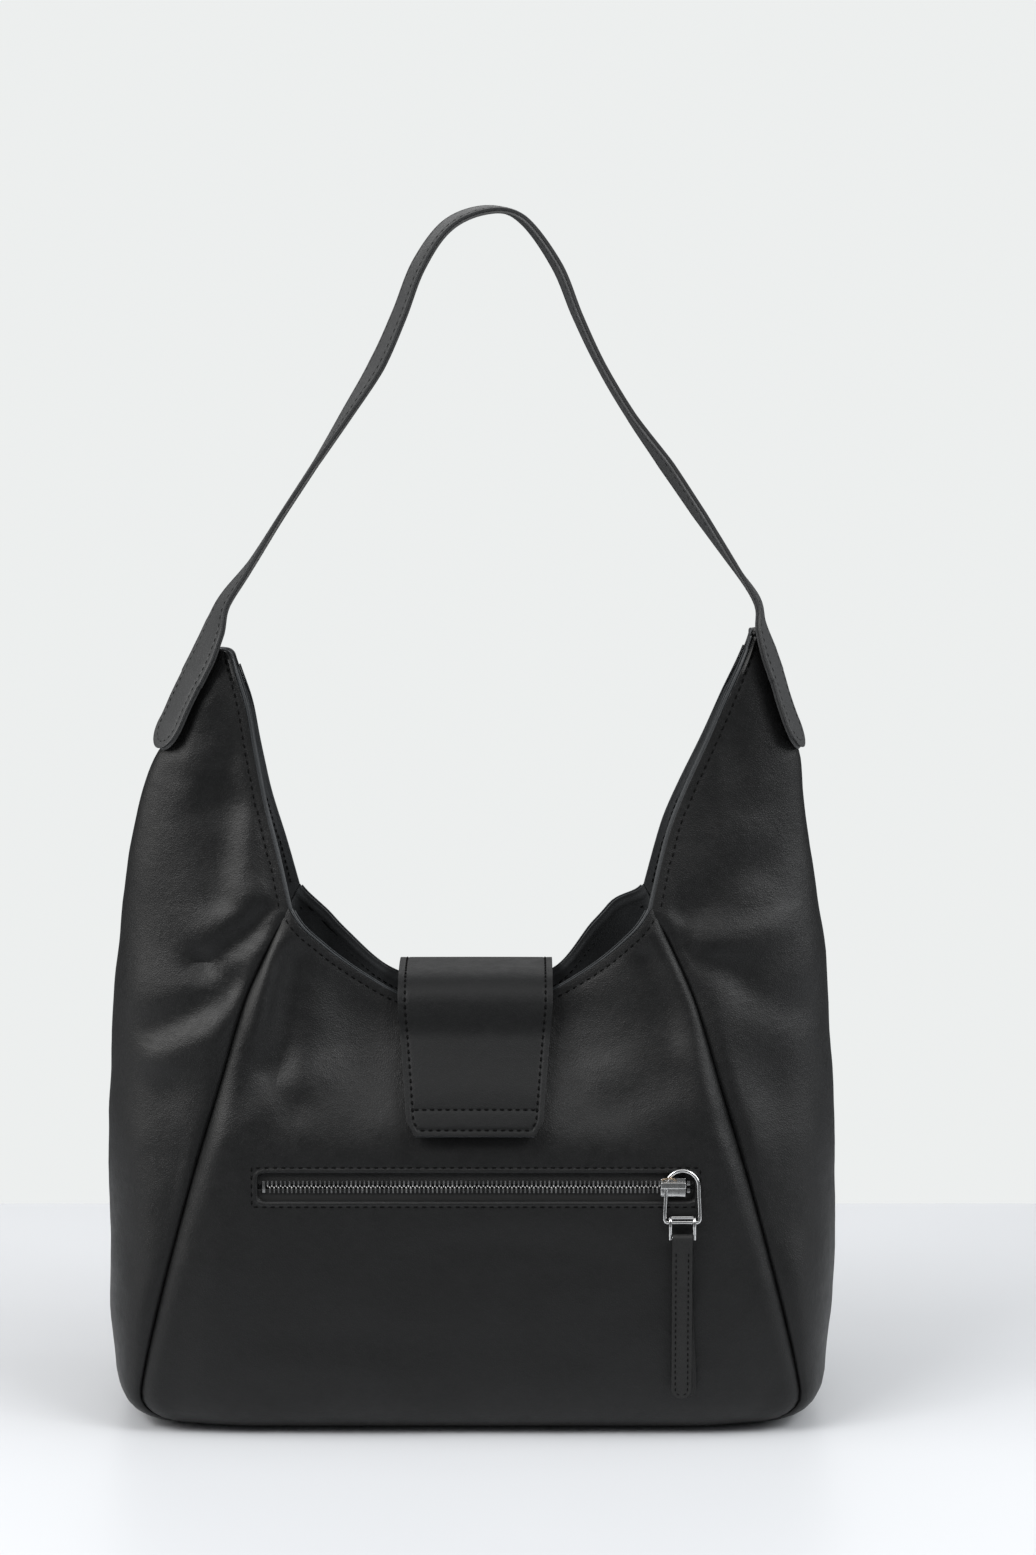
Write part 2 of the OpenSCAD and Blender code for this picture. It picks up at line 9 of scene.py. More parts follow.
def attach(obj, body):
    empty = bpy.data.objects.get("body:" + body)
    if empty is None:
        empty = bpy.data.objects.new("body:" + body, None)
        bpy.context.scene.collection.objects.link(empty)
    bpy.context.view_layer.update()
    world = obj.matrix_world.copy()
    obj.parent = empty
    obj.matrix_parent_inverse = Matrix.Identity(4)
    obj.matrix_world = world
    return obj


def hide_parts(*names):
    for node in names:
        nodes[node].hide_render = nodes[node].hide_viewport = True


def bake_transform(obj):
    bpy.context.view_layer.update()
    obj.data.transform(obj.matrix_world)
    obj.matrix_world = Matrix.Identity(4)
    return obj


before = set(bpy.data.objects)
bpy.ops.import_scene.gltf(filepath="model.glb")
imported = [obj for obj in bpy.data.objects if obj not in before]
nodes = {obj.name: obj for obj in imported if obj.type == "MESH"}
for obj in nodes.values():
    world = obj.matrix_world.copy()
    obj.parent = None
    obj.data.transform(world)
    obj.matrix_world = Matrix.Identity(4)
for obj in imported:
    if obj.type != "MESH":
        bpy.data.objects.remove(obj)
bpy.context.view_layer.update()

scene = bpy.context.scene
mm = 0.001
print("packed frame loaded:", len(nodes), "nodes")


# paints
class Wired:
    # a socket that takes part in sums
    def __init__(self, paint, socket):
        self.paint, self.socket = paint, socket

    def join(self, operation, other, swapped=False):
        first, second = (other, self) if swapped else (self, other)
        return self.paint.node("Math", {"operation": operation}, {0: first, 1: second})

    def __add__(self, other):
        return self.join("ADD", other)

    __radd__ = __add__

    def __sub__(self, other):
        return self.join("SUBTRACT", other)

    def __rsub__(self, other):
        return self.join("SUBTRACT", other, True)

    def __mul__(self, other):
        return self.join("MULTIPLY", other)

    __rmul__ = __mul__


class Paint:
    def __init__(self, name):
        self.material = bpy.data.materials.new(name)
        self.material.use_nodes = True
        self.tree = self.material.node_tree
        self.shader = self.tree.nodes["Principled BSDF"]

    def feed(self, socket, value):
        if isinstance(value, Wired):
            self.tree.links.new(value.socket, socket)
        else:
            socket.default_value = value

    def node(self, kind, settings=None, inputs=None, out=0):
        made = self.tree.nodes.new("ShaderNode" + kind)
        for key, value in (settings or {}).items():
            setattr(made, key, value)
        for key, value in (inputs or {}).items():
            self.feed(made.inputs[key], value)
        return Wired(self, made.outputs[out])

    def place(self, turn=(0, 0, 0), scale=(1, 1, 1)):
        spot = self.node("TexCoord", out="Object")
        return self.node("Mapping", {}, {"Vector": spot, "Rotation": turn, "Scale": scale})

    def noise(self, scale, detail=3, rough=0.5, at=None):
        return self.node("TexNoise", {}, {"Vector": at or self.place(), "Scale": scale,
                                          "Detail": detail, "Roughness": rough})

    def cells(self, scale, at):
        return self.node("TexVoronoi", {"feature": "DISTANCE_TO_EDGE"}, {"Vector": at, "Scale": scale})

    def span(self, value, low, high, start=0.0, end=1.0):
        return self.node("MapRange", {"interpolation_type": "SMOOTHSTEP"},
                         {"Value": value, 1: low, 2: high, 3: start, 4: end})

    def tint(self, factor, first, second):
        return self.node("Mix", {"data_type": "RGBA"}, {0: factor, 6: first, 7: second}, 2)

    def bump(self, height, distance, below=None):
        inputs = {"Height": height, "Distance": distance}
        if below:
            inputs["Normal"] = below
        return self.node("Bump", {}, inputs)

    def finish(self, **sockets):
        for key, value in sockets.items():
            self.feed(self.shader.inputs[key.replace("_", " ")], value)
        return self.material


def grey(level, warm=0.0):
    return (level * (1 + warm), level, level * (1 - warm), 1)


leathers = {
    "nappa": {"dark": 0.0026, "light": 0.0072, "grain": 900, "depth": 0.00008, "lift": 0.34,
              "shine": 0.42, "matt": 0.54, "warm": -0.03},
    "facing": {"dark": 0.05, "light": 0.09, "grain": 1100, "depth": 0.00005, "lift": 0.4,
               "shine": 0.5, "matt": 0.62, "warm": -0.05},
    "strap": {"dark": 0.028, "light": 0.050, "grain": 700, "depth": 0.00008, "lift": 0.45,
              "shine": 0.46, "matt": 0.6, "warm": -0.02},
    "flap": {"dark": 0.0045, "light": 0.0095, "grain": 1000, "depth": 0.00005, "lift": 0.22,
             "shine": 0.44, "matt": 0.56, "warm": -0.05},
    "tab": {"dark": 0.006, "light": 0.011, "grain": 1300, "depth": 0.00008, "lift": 0.4,
            "shine": 0.6, "matt": 0.75, "warm": 0.0},
    # the rim colour is much lighter than the nappa: a painted highlight along the folded edges, not a colour
    # the leather has
    "rim": {"dark": 0.018, "light": 0.032, "grain": 1500, "depth": 0.00004, "lift": 0.4,
            "shine": 0.5, "matt": 0.6, "warm": -0.12},
}


def leatherPaint(name, look):
    # two sizes of pebble in a wandering pattern, long creases, and a slow drift of tone
    paint = Paint(name)
    drift = paint.noise(14, 4, 0.55)
    wander = paint.node("VectorMath", {"operation": "ADD"}, {0: paint.place(),
        1: paint.node("VectorMath", {"operation": "SCALE"}, {0: paint.node("TexNoise", {},
            {"Vector": paint.place(), "Scale": look["grain"] * 0.6, "Detail": 1.0}, "Color"),
            "Scale": 0.45 / look["grain"]})})
    pebbles = paint.span(paint.cells(look["grain"], wander), 0.0, 0.35)
    small = paint.span(paint.cells(look["grain"] * 2.1, wander), 0.0, 0.4)
    creases = paint.noise(look["grain"] * 0.16, 5, 0.65)
    height = pebbles * 0.62 + small * 0.2 + creases * 0.5
    mottle = paint.noise(look["grain"] * 0.05, 4, 0.6)
    tone = paint.span(drift * 0.55 + mottle * 0.25 + pebbles * 0.2, 0.25, 0.85)
    rough = paint.span(creases * 0.6 + drift * 0.4, 0.3, 0.7, look["matt"], look["shine"])
    return paint.finish(
        Base_Color=paint.tint(tone, grey(look["dark"], look["warm"]), grey(look["light"], look["warm"])),
        Roughness=rough, Specular_IOR_Level=look["lift"],
        Normal=paint.bump(creases, look["depth"] * 3.5, paint.bump(height, look["depth"])))


def clothPaint(name, thread, dark, light, diagonal=0.0):
    # warp and weft at the thread's width in metres, turned by an angle
    paint = Paint(name)
    spot = paint.place((0, diagonal, 0))
    sway = paint.noise(60, 3)
    warp = paint.node("TexWave", {"wave_type": "BANDS", "bands_direction": "X", "wave_profile": "SIN"},
                      {"Vector": spot, "Scale": 1 / thread / 3.1416, "Distortion": 0.6, "Detail": 1.0})
    weft = paint.node("TexWave", {"wave_type": "BANDS", "bands_direction": "Z", "wave_profile": "SIN"},
                      {"Vector": spot, "Scale": 1 / thread / 3.1416, "Distortion": 0.6, "Detail": 1.0})
    weave = warp * 0.5 + weft * 0.5
    fuzz = paint.noise(2600, 3, 0.7)
    tone = paint.span(weave * 0.5 + fuzz * 0.3 + sway * 0.3, 0.25, 0.85)
    return paint.finish(Base_Color=paint.tint(tone, grey(dark), grey(light)), Roughness=0.86,
                        Specular_IOR_Level=0.3, Sheen_Weight=0.15,
                        Normal=paint.bump(weave * 0.7 + fuzz * 0.3, thread * 0.25))


def metalPaint(name, dark, light, rough, scuff=0.12, warm=0.0):
    paint = Paint(name)
    smear = paint.noise(90, 4, 0.6)
    lines = paint.noise(700, 3, 0.6, paint.place((0, 0, 0), (1, 1, 0.15)))
    wear = paint.span(smear * 0.6 + lines * 0.4, 0.3, 0.75)
    return paint.finish(Base_Color=paint.tint(wear, grey(dark, warm), grey(light, warm)), Metallic=1.0,
                        Roughness=paint.span(smear * 0.5 + lines * 0.5, 0.3, 0.7, rough, rough + scuff),
                        Normal=paint.bump(lines, 0.00001))


def boardPaint(name):
    paint = Paint(name)
    pulp = paint.noise(500, 5, 0.7, paint.place((0, 0, 0.3), (1, 0.25, 1)))
    blotch = paint.noise(30, 3)
    tone = paint.span(pulp * 0.7 + blotch * 0.3, 0.3, 0.7)
    return paint.finish(Base_Color=paint.tint(tone, (0.16, 0.12, 0.08, 1), (0.29, 0.22, 0.15, 1)),
                        Roughness=0.88, Normal=paint.bump(pulp, 0.0001))


def threadPaint(name, dark, light):
    paint = Paint(name)
    twist = paint.noise(3500, 2, 0.6)
    return paint.finish(Base_Color=paint.tint(paint.span(twist, 0.3, 0.7), grey(dark), grey(light)),
                        Roughness=0.8, Specular_IOR_Level=0.08, Normal=paint.bump(twist, 0.00005))


nappa = leatherPaint("smooth nappa", leathers["nappa"])
facingLeather = leatherPaint("facing leather", leathers["facing"])
strapLeather = leatherPaint("grained strap leather", leathers["strap"])
flapLeather = leatherPaint("flap leather", leathers["flap"])
tabLeather = leatherPaint("tab leather", leathers["tab"])
# painted highlight for the folded edges of the neckline and horns
rimHighlightPaint = leatherPaint("painted rim highlight", leathers["rim"])
liningCloth = clothPaint("lining twill", 0.0007, 0.15, 0.27, 0.78)
tapeCloth = clothPaint("zip tape", 0.0005, 0.006, 0.016, 0.6)
toothMetal = metalPaint("gunmetal teeth", 0.2, 0.42, 0.26)
nickel = metalPaint("polished nickel", 0.5, 0.72, 0.12, 0.08)
brass = metalPaint("brass", 0.42, 0.6, 0.2, 0.1, 0.28)
snapMetal = metalPaint("brushed snap metal", 0.4, 0.6, 0.26)
board = boardPaint("fibre board")
thread = threadPaint("black thread", 0.0012, 0.0035)
print("paints mixed")


# the bag's sections, in millimetres
bag = {
    "neck": 217, "neckFlat": 0.22, "neckCurve": 1.35, "seamTop": 267, "hornTop": 402, "level": 150,
    "baseRound": 22, "cornerHigh": 24, "cornerIn": 13, "lean": 11, "swell": 2.8, "pinch": 24, "bulge": 7,
    "flapRoom": 46, "leather": 1.8, "facing": 1.0, "edgeRound": 0.55, "facingRound": 0.35, "gap": 0.05,
    "zipLeft": 106, "zipRight": 112, "stitchIn": 4, "stitchDip": 0.35, "dipWide": 0.9,
    "windowLow": 124.1, "windowHigh": 137.8, "windowRound": 3.5,
    "side": [(0, 184), (60, 187), (130, 187), (190, 185), (240, 181), (290, 173.5), (316, 169),
             (337, 164.5), (357, 155), (378, 146.5), (402, 136)],
    "seam": [(0, 168), (20, 167), (50, 161), (90, 151), (130, 140), (180, 125), (220, 113),
             (245, 102), (267, 91)],
    "neckEdge": [(267, 91), (300, 99), (325, 107), (350, 115), (376, 122), (402, 131)],
    "depth": [(0, 57), (60, 59), (130, 55), (180, 48), (220, 42), (245, 37), (267, 33), (300, 24),
              (320, 19), (345, 15), (376, 12), (402, 8)],
}


def curveAt(table, z):
    i = 0
    while i < len(table) - 2 and z >= table[i + 1][0]:
        i += 1

    def slope(k):
        a, b = max(k - 1, 0), min(k + 1, len(table) - 1)
        return (table[b][1] - table[a][1]) / (table[b][0] - table[a][0])

    h = table[i + 1][0] - table[i][0]
    s = (z - table[i][0]) / h
    return (table[i][1] * (2 * s ** 3 - 3 * s ** 2 + 1) + h * slope(i) * (s ** 3 - 2 * s ** 2 + s)
            + table[i + 1][1] * (3 * s ** 2 - 2 * s ** 3) + h * slope(i + 1) * (s ** 3 - s ** 2))


def ramp(value, low, high):
    t = min(1, max(0, (value - low) / (high - low)))
    return t * t * (3 - 2 * t)


def swell(distance, at, wide):
    # 1 at a distance, dying away on both sides of it
    return math.exp(-((distance - at) / wide) ** 2)


def steps(start, end, count):
    return [start + (end - start) * i / count for i in range(count)]


def mirrored(half):
    return [-value for value in reversed(half) if value] + half


def cached(work):
    known = {}

    def look(z):
        key = round(z, 4)
        if key not in known:
            known[key] = work(z)
        return known[key]

    return look


@cached
def sideX(z):
    return curveAt(bag["side"], z)


@cached
def seamX(z):
    s = curveAt(bag["seam"] if z < bag["seamTop"] else bag["neckEdge"], z)
    if z < bag["cornerHigh"]:  # the seam rounds the lower corner
        s -= bag["cornerIn"] * (1 - math.sqrt(max(0, 1 - (1 - z / bag["cornerHigh"]) ** 2)))
    return s


@cached
def halfDepth(z):
    return curveAt(bag["depth"], z)


def leanAt(z):
    return bag["lean"] * ramp(z, 300, 400)


def sideOut(side, z):
    # the left horn is a little wider than the right one
    return sideX(z) - side * bag["swell"] * ramp(z, 340, 375)


def neckline(u):
    rise = max(0, abs(u) - bag["neckFlat"]) / (1 - bag["neckFlat"])
    return bag["neck"] + (bag["seamTop"] - bag["neck"]) * rise ** bag["neckCurve"]


def panelDepth(x, z, inset):
    # the front panel's face, bulging low down and pinched in under the flap
    s = seamX(z)
    flat = max(bag["flapRoom"], 115 * (1 - ramp(z, 150, 230)))
    turned = min(1, max(0, (abs(x) - flat) / (s - flat))) ** 2
    return (inset - halfDepth(z) - bag["bulge"] * (1 - turned)
            + bag["pinch"] * ramp(z, 145, 217) * (1 - ramp(abs(x), bag["flapRoom"], s)))


windowEdge = 0.8


# rows run from 0 to 1 round the bottom edge, to 2 up the level part, to 3 at the neckline, to 4 up the horns
def rowAt(v, top, inset):
    r = bag["baseRound"]
    if v < 1:
        a = math.radians(90 * v)
        return r - (r - inset) * math.cos(a), r - (r - inset) * math.sin(a)
    if v <= 2:
        return r + (bag["level"] - r) * (v - 1), inset
    if v <= 3:
        return bag["level"] + (top - bag["level"]) * (v - 2), inset
    return bag["seamTop"] + (bag["hornTop"] - bag["seamTop"]) * (v - 3), inset


def columnX(u, z):
    # low down the column at windowEdge runs past the end of the zip's opening
    t = max(0, (z - bag["level"]) / (bag["seamTop"] - bag["level"]))
    end = bag["zipLeft"] if u < 0 else bag["zipRight"]
    m, a = end + (windowEdge * seamX(bag["seamTop"]) - end) * t, abs(u)
    x = m * a / windowEdge if a <= windowEdge else m + (seamX(z) - m) * (a - windowEdge) / (1 - windowEdge)
    return x if u > 0 else -x


# soft folds as x, z of both ends, height, and how far each side of the fold spreads
folds = {
    "left": [(-109, 308, -114, 278, 2.6, 11, 9), (-121, 315, -127, 275, -2.6, 10, 10),
             (-101, 262, -135, 238, -4.2, 6, 8), (-103, 273, -131, 252, 2.4, 10, 8),
             (-138, 239, -114, 231, -2.2, 5, 5), (-160, 204, -122, 225, -3.4, 8, 9),
             (-157, 194, -112, 213, 2.4, 10, 9), (-129, 343, -141, 322, 1.8, 8, 9),
             (-120, 343, -130, 316, -1.8, 9, 8), (-128, 385, -142, 340, 2.2, 7, 8),
             (-153, 173, -146, 108, -1.8, 13, 13), (-172, 300, -168, 230, 1.6, 14, 14),
             (-131, 150, -150, 60, 1.2, 9, 9), (-165, 150, -172, 60, 1.2, 16, 16)],
    "right": [(111, 263, 143, 286, -2.8, 11, 10), (120, 250, 150, 254, 3.0, 9, 8),
              (141, 322, 135, 276, 2.2, 13, 13), (107, 246, 136, 233, -2.4, 7, 8),
              (142, 225, 168, 213, -2.2, 10, 10), (120, 209, 141, 150, 1.5, 9, 10),
              (160, 262, 172, 238, 1.8, 9, 11), (150, 190, 160, 110, -1.7, 14, 14),
              (128, 360, 138, 318, -1.4, 8, 8), (166, 150, 172, 60, 1.2, 15, 15)],
    "front": [(-99, 247, -106, 209, 2.2, 6, 6), (-88, 242, -95, 190, -3.0, 8, 9),
              (-103, 187, -88, 169, -2.0, 7, 8), (-76, 210, -84, 185, 1.4, 10, 10),
              (90, 241, 104, 205, -3.2, 9, 8), (106, 200, 119, 172, 2.2, 10, 9),
              (74, 170, 103, 184, -1.6, 10, 10), (-60, 168, -30, 160, 1.0, 12, 12),
              (-120, 80, -60, 55, 1.0, 22, 22), (20, 62, 100, 78, -1.6, 30, 26),
              (-30, 100, 60, 96, -1.2, 18, 26), (-130, 30, 130, 30, 1.2, 16, 16)],
}
# the back isn't creased in known places, so its folds are drawn by lot
dice = random.Random(7)
for side, low, high in (("backLeft", -165, -115), ("backRight", 115, 165), ("back", -90, 90)):
    folds[side] = []
    for i in range(11):
        x, z = dice.uniform(low, high), dice.uniform(60, 330 if side != "back" else 200)
        turn, long = dice.uniform(-0.5, 0.9) * (1 if low > 0 else -1), dice.uniform(18, 40)
        folds[side].append((x, z, x + long * math.cos(turn), z + long * math.sin(turn),
                            dice.choice((-2.6, -1.8, 1.6, 2.2)), dice.uniform(7, 13), dice.uniform(7, 13)))


def foldHeight(side, x, z):
    total = 0
    for ax, az, bx, bz, height, spreadA, spreadB in folds[side]:
        dx, dz = bx - ax, bz - az
        t = min(1, max(0, ((x - ax) * dx + (z - az) * dz) / (dx * dx + dz * dz)))
        qx, qz = x - ax - t * dx, z - az - t * dz
        spread = spreadA if dx * qz - dz * qx > 0 else spreadB
        q = (qx * qx + qz * qz) / (spread * spread)
        if q < 6:
            total += height * math.exp(-q)
    return total


def seamRoll(q, z, front=True):
    # the valley that the seam lies in, and the soft roll beside it
    roll = 1.5 * swell(q, 7, 6.5) if front else 0.5 * swell(q, 10, 9)
    return (roll - 2.5 * math.exp(-q / 1.7)) * ramp(z, -6, 16) * (1 - ramp(z, 248, 266))


def windowGap(x, z):
    # distance outside the rounded opening of the zip
    cx, cz = (bag["zipRight"] - bag["zipLeft"]) / 2, (bag["windowLow"] + bag["windowHigh"]) / 2
    hx, hz = (bag["zipRight"] + bag["zipLeft"]) / 2, (bag["windowHigh"] - bag["windowLow"]) / 2
    r = bag["windowRound"]
    qx, qz = abs(x - cx) - hx + r, abs(z - cz) - hz + r
    return math.hypot(max(qx, 0), max(qz, 0)) + min(max(qx, qz), 0) - r


def unevenness(x, y, z):
    # height and length of the slow, middling and small waves of the leather
    waves = ((1.5, 52), (0.5, 21), (0.12, 8))
    return sum(high * fractal.noise(Vector((x, y, z)) / long) for high, long in waves)


def stitchDip(distance):
    return bag["stitchDip"] * swell(distance, bag["stitchIn"], bag["dipWide"])


backRise = {1: 9, -1: 3}
rim = {"high": 0.45, "round": 1.5, "drop": 1.3, "groove": 3}


def panelPoint(u, v, inset=0.0, back=False, plain=False):
    top = neckline(u)
    if back:  # the back stands a little higher beside the flap
        top += backRise[1 if u > 0 else -1] * ramp(abs(u), 0.38, 0.66) * (1 - ramp(abs(u), 0.76, 1))
    z, e = rowAt(v, top, inset)
    s, x = seamX(z), columnX(u, z)
    px, y = x * (s - e) / s, panelDepth(x, z, e)
    if not plain:
        q = s - abs(x)
        soft = ramp(top - z, 1, 14) * ramp(z, 0, 26)
        lift = foldHeight("back" if back else "front", x, z) + unevenness(x, 90 if back else y, z)
        if back:
            y -= soft * lift + seamRoll(q, z)
        else:
            gap = windowGap(x, z)
            # the leather stays flat where the pull's tab passes over it
            flat = ramp(z, 36, 56) * (1 - ramp(z, 122, 150)) * (1 - ramp(abs(x), 112, 130))
            lift -= flat * max(0, lift + 0.6)
            y -= soft * lift * ramp(gap, 3, 26) + seamRoll(q, z)
            if gap < 7:  # the raised lip round the zip, its stitch groove and its turned-in edge
                lip = ramp(gap, -0.5, 1.2) * (1 - ramp(gap, 2.2, 5))
                y -= rim["high"] * (lip - swell(gap, rim["groove"], 0.7))
                turnIn = max(0, 1 - max(gap, 0) / rim["round"])
                y += rim["drop"] * (1 - math.sqrt(max(0, 1 - turnIn ** 2)))
        y += stitchDip(top - z)
    return Vector((px, -y if back else y, z))


hornDrop = {-1: 8, 1: -2}
footIn = {-1: 2.0, 1: 3.2}


def gorePoint(side, turn, v, inset=0.0, plain=False):
    z, e = rowAt(v, bag["seamTop"], inset)
    s, a, d = seamX(z), sideOut(side, z), halfDepth(z)
    t = math.radians(turn)
    x, y = side * (s - e + (a - s) * math.sin(t)), -(d - e) * math.cos(t)
    worldX = x + leanAt(z)
    if not plain:
        near = min(turn, 180 - turn)
        arc = math.hypot((a - s) * math.sin(math.radians(near)), d * (1 - math.cos(math.radians(near))))
        top = bag["seamTop"] - z
        soft = max(ramp(arc, 1, 14), ramp(top, 1, 14)) * ramp(z, 0, 26) * (1 - ramp(z, 375, 402))
        name = ("left" if side < 0 else "right") if turn < 90 else ("backLeft" if side < 0 else "backRight")
        facingOut = abs(math.cos(t)) ** 0.6
        deep = y if turn < 90 else y + (90 - y) * (1 - ramp(arc, 0, 40))
        lift = (foldHeight(name, worldX, z) * ramp(arc, 0, 10) * facingOut
                + foldHeight("front" if turn < 90 else "back", side * s, z) * (1 - ramp(arc, 0, 14))
                + unevenness(worldX, deep, z))
        lift = soft * lift + seamRoll(arc, z, False)
        if z > bag["seamTop"]:
            lift -= stitchDip(arc)
        x += side * math.sin(t) * lift
        y -= math.cos(t) * lift
    x -= side * footIn[side] * (1 - ramp(z, 0, 60)) * math.sin(t)
    z -= hornDrop[side] * ramp(z, 330, 402)
    corner = max(0, 1 - min(turn, 180 - turn) / 48)
    z -= 5 * (1 - math.sqrt(1 - corner * corner)) * ramp(z, 350, 395)
    return Vector((x + leanAt(z), y, z))


# making pieces
def makePiece(bm, name, paint, body="bag", replaced=(), sharp=None):
    for face in bm.faces:
        face.smooth = True
    mesh = bpy.data.meshes.new(name)
    bm.to_mesh(mesh)
    bm.free()
    if sharp:
        mesh.set_sharp_from_angle(angle=math.radians(sharp))
    piece = bpy.data.objects.new(name, mesh)
    scene.collection.objects.link(piece)
    mesh.materials.append(paint)
    if body:
        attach(piece, body)
    if replaced:
        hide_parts(*replaced)
    return piece


def thicken(piece, thickness, bevel=0.0, offset=-1.0, segments=2, even=True):
    wall = piece.modifiers.new("leather", "SOLIDIFY")
    wall.thickness, wall.offset = thickness * mm, offset
    wall.use_even_offset = even
    if bevel:
        edge = piece.modifiers.new("edge", "BEVEL")
        edge.width, edge.segments = bevel * mm, segments
        edge.limit_method, edge.angle_limit = "ANGLE", math.radians(50)
        edge.use_clamp_overlap = True
    return piece


def applyModifiers(piece):
    graph = bpy.context.evaluated_depsgraph_get()
    mesh = bpy.data.meshes.new_from_object(piece.evaluated_get(graph))
    piece.modifiers.clear()
    piece.data = mesh


def gridMesh(columns, rows, place, keep=None, flip=False, unit=mm):
    # a sheet over (column, row), without the faces that keep turns down
    bm = bmesh.new()
    across, up = len(columns) - 1, len(rows) - 1
    bmesh.ops.create_grid(bm, x_segments=across, y_segments=up, size=1)
    if keep:
        gone = []
        for face in bm.faces:
            middle = face.calc_center_median()
            if not keep(int((middle.x + 1) / 2 * across), int((middle.y + 1) / 2 * up)):
                gone.append(face)
        bmesh.ops.delete(bm, geom=gone, context="FACES")
    for vert in bm.verts:
        c, r = round((vert.co.x + 1) / 2 * across), round((vert.co.y + 1) / 2 * up)
        vert.co = place(columns[c], rows[r]) * unit
    if flip:
        bmesh.ops.reverse_faces(bm, faces=bm.faces[:])
    return bm


def levelRow(z):
    return 1 + (z - bag["baseRound"]) / (bag["level"] - bag["baseRound"])


edgeRows = steps(0, 1, 8)
levelRows = [levelRow(z) for z in (22, 26, 30, 35, 40, 45, 50, 55, 60, 65, 70, 75, 80, 85, 90, 95, 100, 105,
             110, 114, 117, 119, 120.2, 120.8, 121.3, 122, 122.7, 123.3, 123.75, 124.1, 126.4, 128.7, 131,
             133.2, 135.5, 137.8, 138.15, 138.6, 139.2, 139.9, 140.6, 141.1, 141.7, 143, 146)]
neckRows = [2] + [2 + t for t in steps(0.04, 0.92, 22)] + [2.92, 2.94, 2.955, 2.965, 2.975, 2.985, 2.993, 3]
wallRows = edgeRows + levelRows + neckRows
windowSpan = (wallRows.index(levelRow(bag["windowLow"])), wallRows.index(levelRow(bag["windowHigh"])))
halfColumns = steps(0, 0.75, 25) + [0.75, 0.763, 0.774, 0.782, 0.789, 0.795, 0.8, 0.8022, 0.805, 0.809,
               0.814, 0.8175, 0.821, 0.826, 0.835, 0.85, 0.867, 0.883, 0.9, 0.915, 0.93, 0.944, 0.956,
               0.967, 0.976, 0.984, 0.991, 0.996, 1]
columns = mirrored(halfColumns)
halfTurns = [0, 0.6, 1.3, 2.2, 3.3, 4.6, 6.2, 8, 10, 12.5, 15, 18, 21.5] + steps(25, 90, 15)
turns = halfTurns + [90] + [180 - t for t in reversed(halfTurns)]
hornRows = steps(3, 3.94, 34) + [3.94, 3.955, 3.968, 3.978, 3.986, 3.993, 4]


def roundedWindow(u, v):
    spot = panelPoint(u, v)
    low, high = levelRow(bag["windowLow"] - 0.01), levelRow(bag["windowHigh"] + 0.01)
    if abs(u) > windowEdge + 0.0001 or not low < v < high:
        return spot
    r = bag["windowRound"]
    endX = bag["zipRight"] if u > 0 else -bag["zipLeft"]
    cx = endX - r if u > 0 else endX + r
    for edge, inward in ((bag["windowLow"], 1), (bag["windowHigh"], -1)):
        cz = edge + inward * r
        dx, dz = (spot.x - cx) * (1 if u > 0 else -1), (cz - spot.z) * inward
        if dx > 0 and dz > 0 and (abs(spot.x - endX) < 0.02 or abs(spot.z - edge) < 0.02):
            far = math.hypot(dx, dz)
            spot.x = cx + (spot.x - cx) * r / far
            spot.z = cz + (spot.z - cz) * r / far
            spot.y = panelDepth(spot.x, spot.z, 0) + rim["drop"]
    return spot


def outsideWindow(c, r):
    return not (windowSpan[0] <= r < windowSpan[1] and abs(columns[c] + columns[c + 1]) / 2 < windowEdge)


front = makePiece(gridMesh(columns, wallRows, roundedWindow, outsideWindow),
                  "frontPanelLeather", nappa, replaced=["front_panel"])
thicken(front, bag["leather"], bag["edgeRound"])
back = makePiece(gridMesh(columns, wallRows, lambda u, v: panelPoint(u, v, back=True), flip=True),
                 "backPanelLeather", nappa, replaced=["back_panel"])
thicken(back, bag["leather"], bag["edgeRound"])
goreRows = wallRows[:-1] + hornRows
for side, word in ((-1, "left"), (1, "right")):
    gore = makePiece(gridMesh(turns, goreRows, lambda t, v: gorePoint(side, t, v), flip=side < 0),
                     word + "GoreLeather", nappa, replaced=[word + "_gusset"])
    thicken(gore, bag["leather"], bag["edgeRound"])
print("shell panels and gores made")

# facings inside the neckline and the horns
facingRows = [v for v in wallRows if v >= 2.74]
under = bag["leather"] + bag["gap"]
for back, word in ((False, "front"), (True, "back")):
    facing = makePiece(gridMesh(columns, facingRows, lambda u, v: panelPoint(u, v, under, back), flip=back),
                       word + "NeckFacing", facingLeather, replaced=[word + "_facing"])
    thicken(facing, bag["facing"], bag["facingRound"])
for side, word in ((-1, "left"), (1, "right")):
    facing = makePiece(gridMesh(turns, facingRows[:-1] + hornRows,
                                lambda t, v: gorePoint(side, t, v, under), flip=side < 0),
                       word + "HornFacing", facingLeather, replaced=[word + "_horn_facing"])
    thicken(facing, bag["facing"], bag["facingRound"])

# one closed ring round the bag: front, right gore, back, left gore
ringColumns = steps(0, 1, 36) + steps(1, 2, 20) + steps(2, 3, 36) + steps(3, 4, 20) + [4]


def ringPoint(w, v, inset, plain=True):
    part, t = int(min(w, 3.9999)), w - int(min(w, 3.9999))
    if part == 0:
        return panelPoint(2 * t - 1, v, inset, plain=plain)
    if part == 1:
        return gorePoint(1, 180 * t, v, inset, plain=plain)
    if part == 2:
        return panelPoint(1 - 2 * t, v, inset, True, plain=plain)
    return gorePoint(-1, 180 - 180 * t, v, inset, plain=plain)


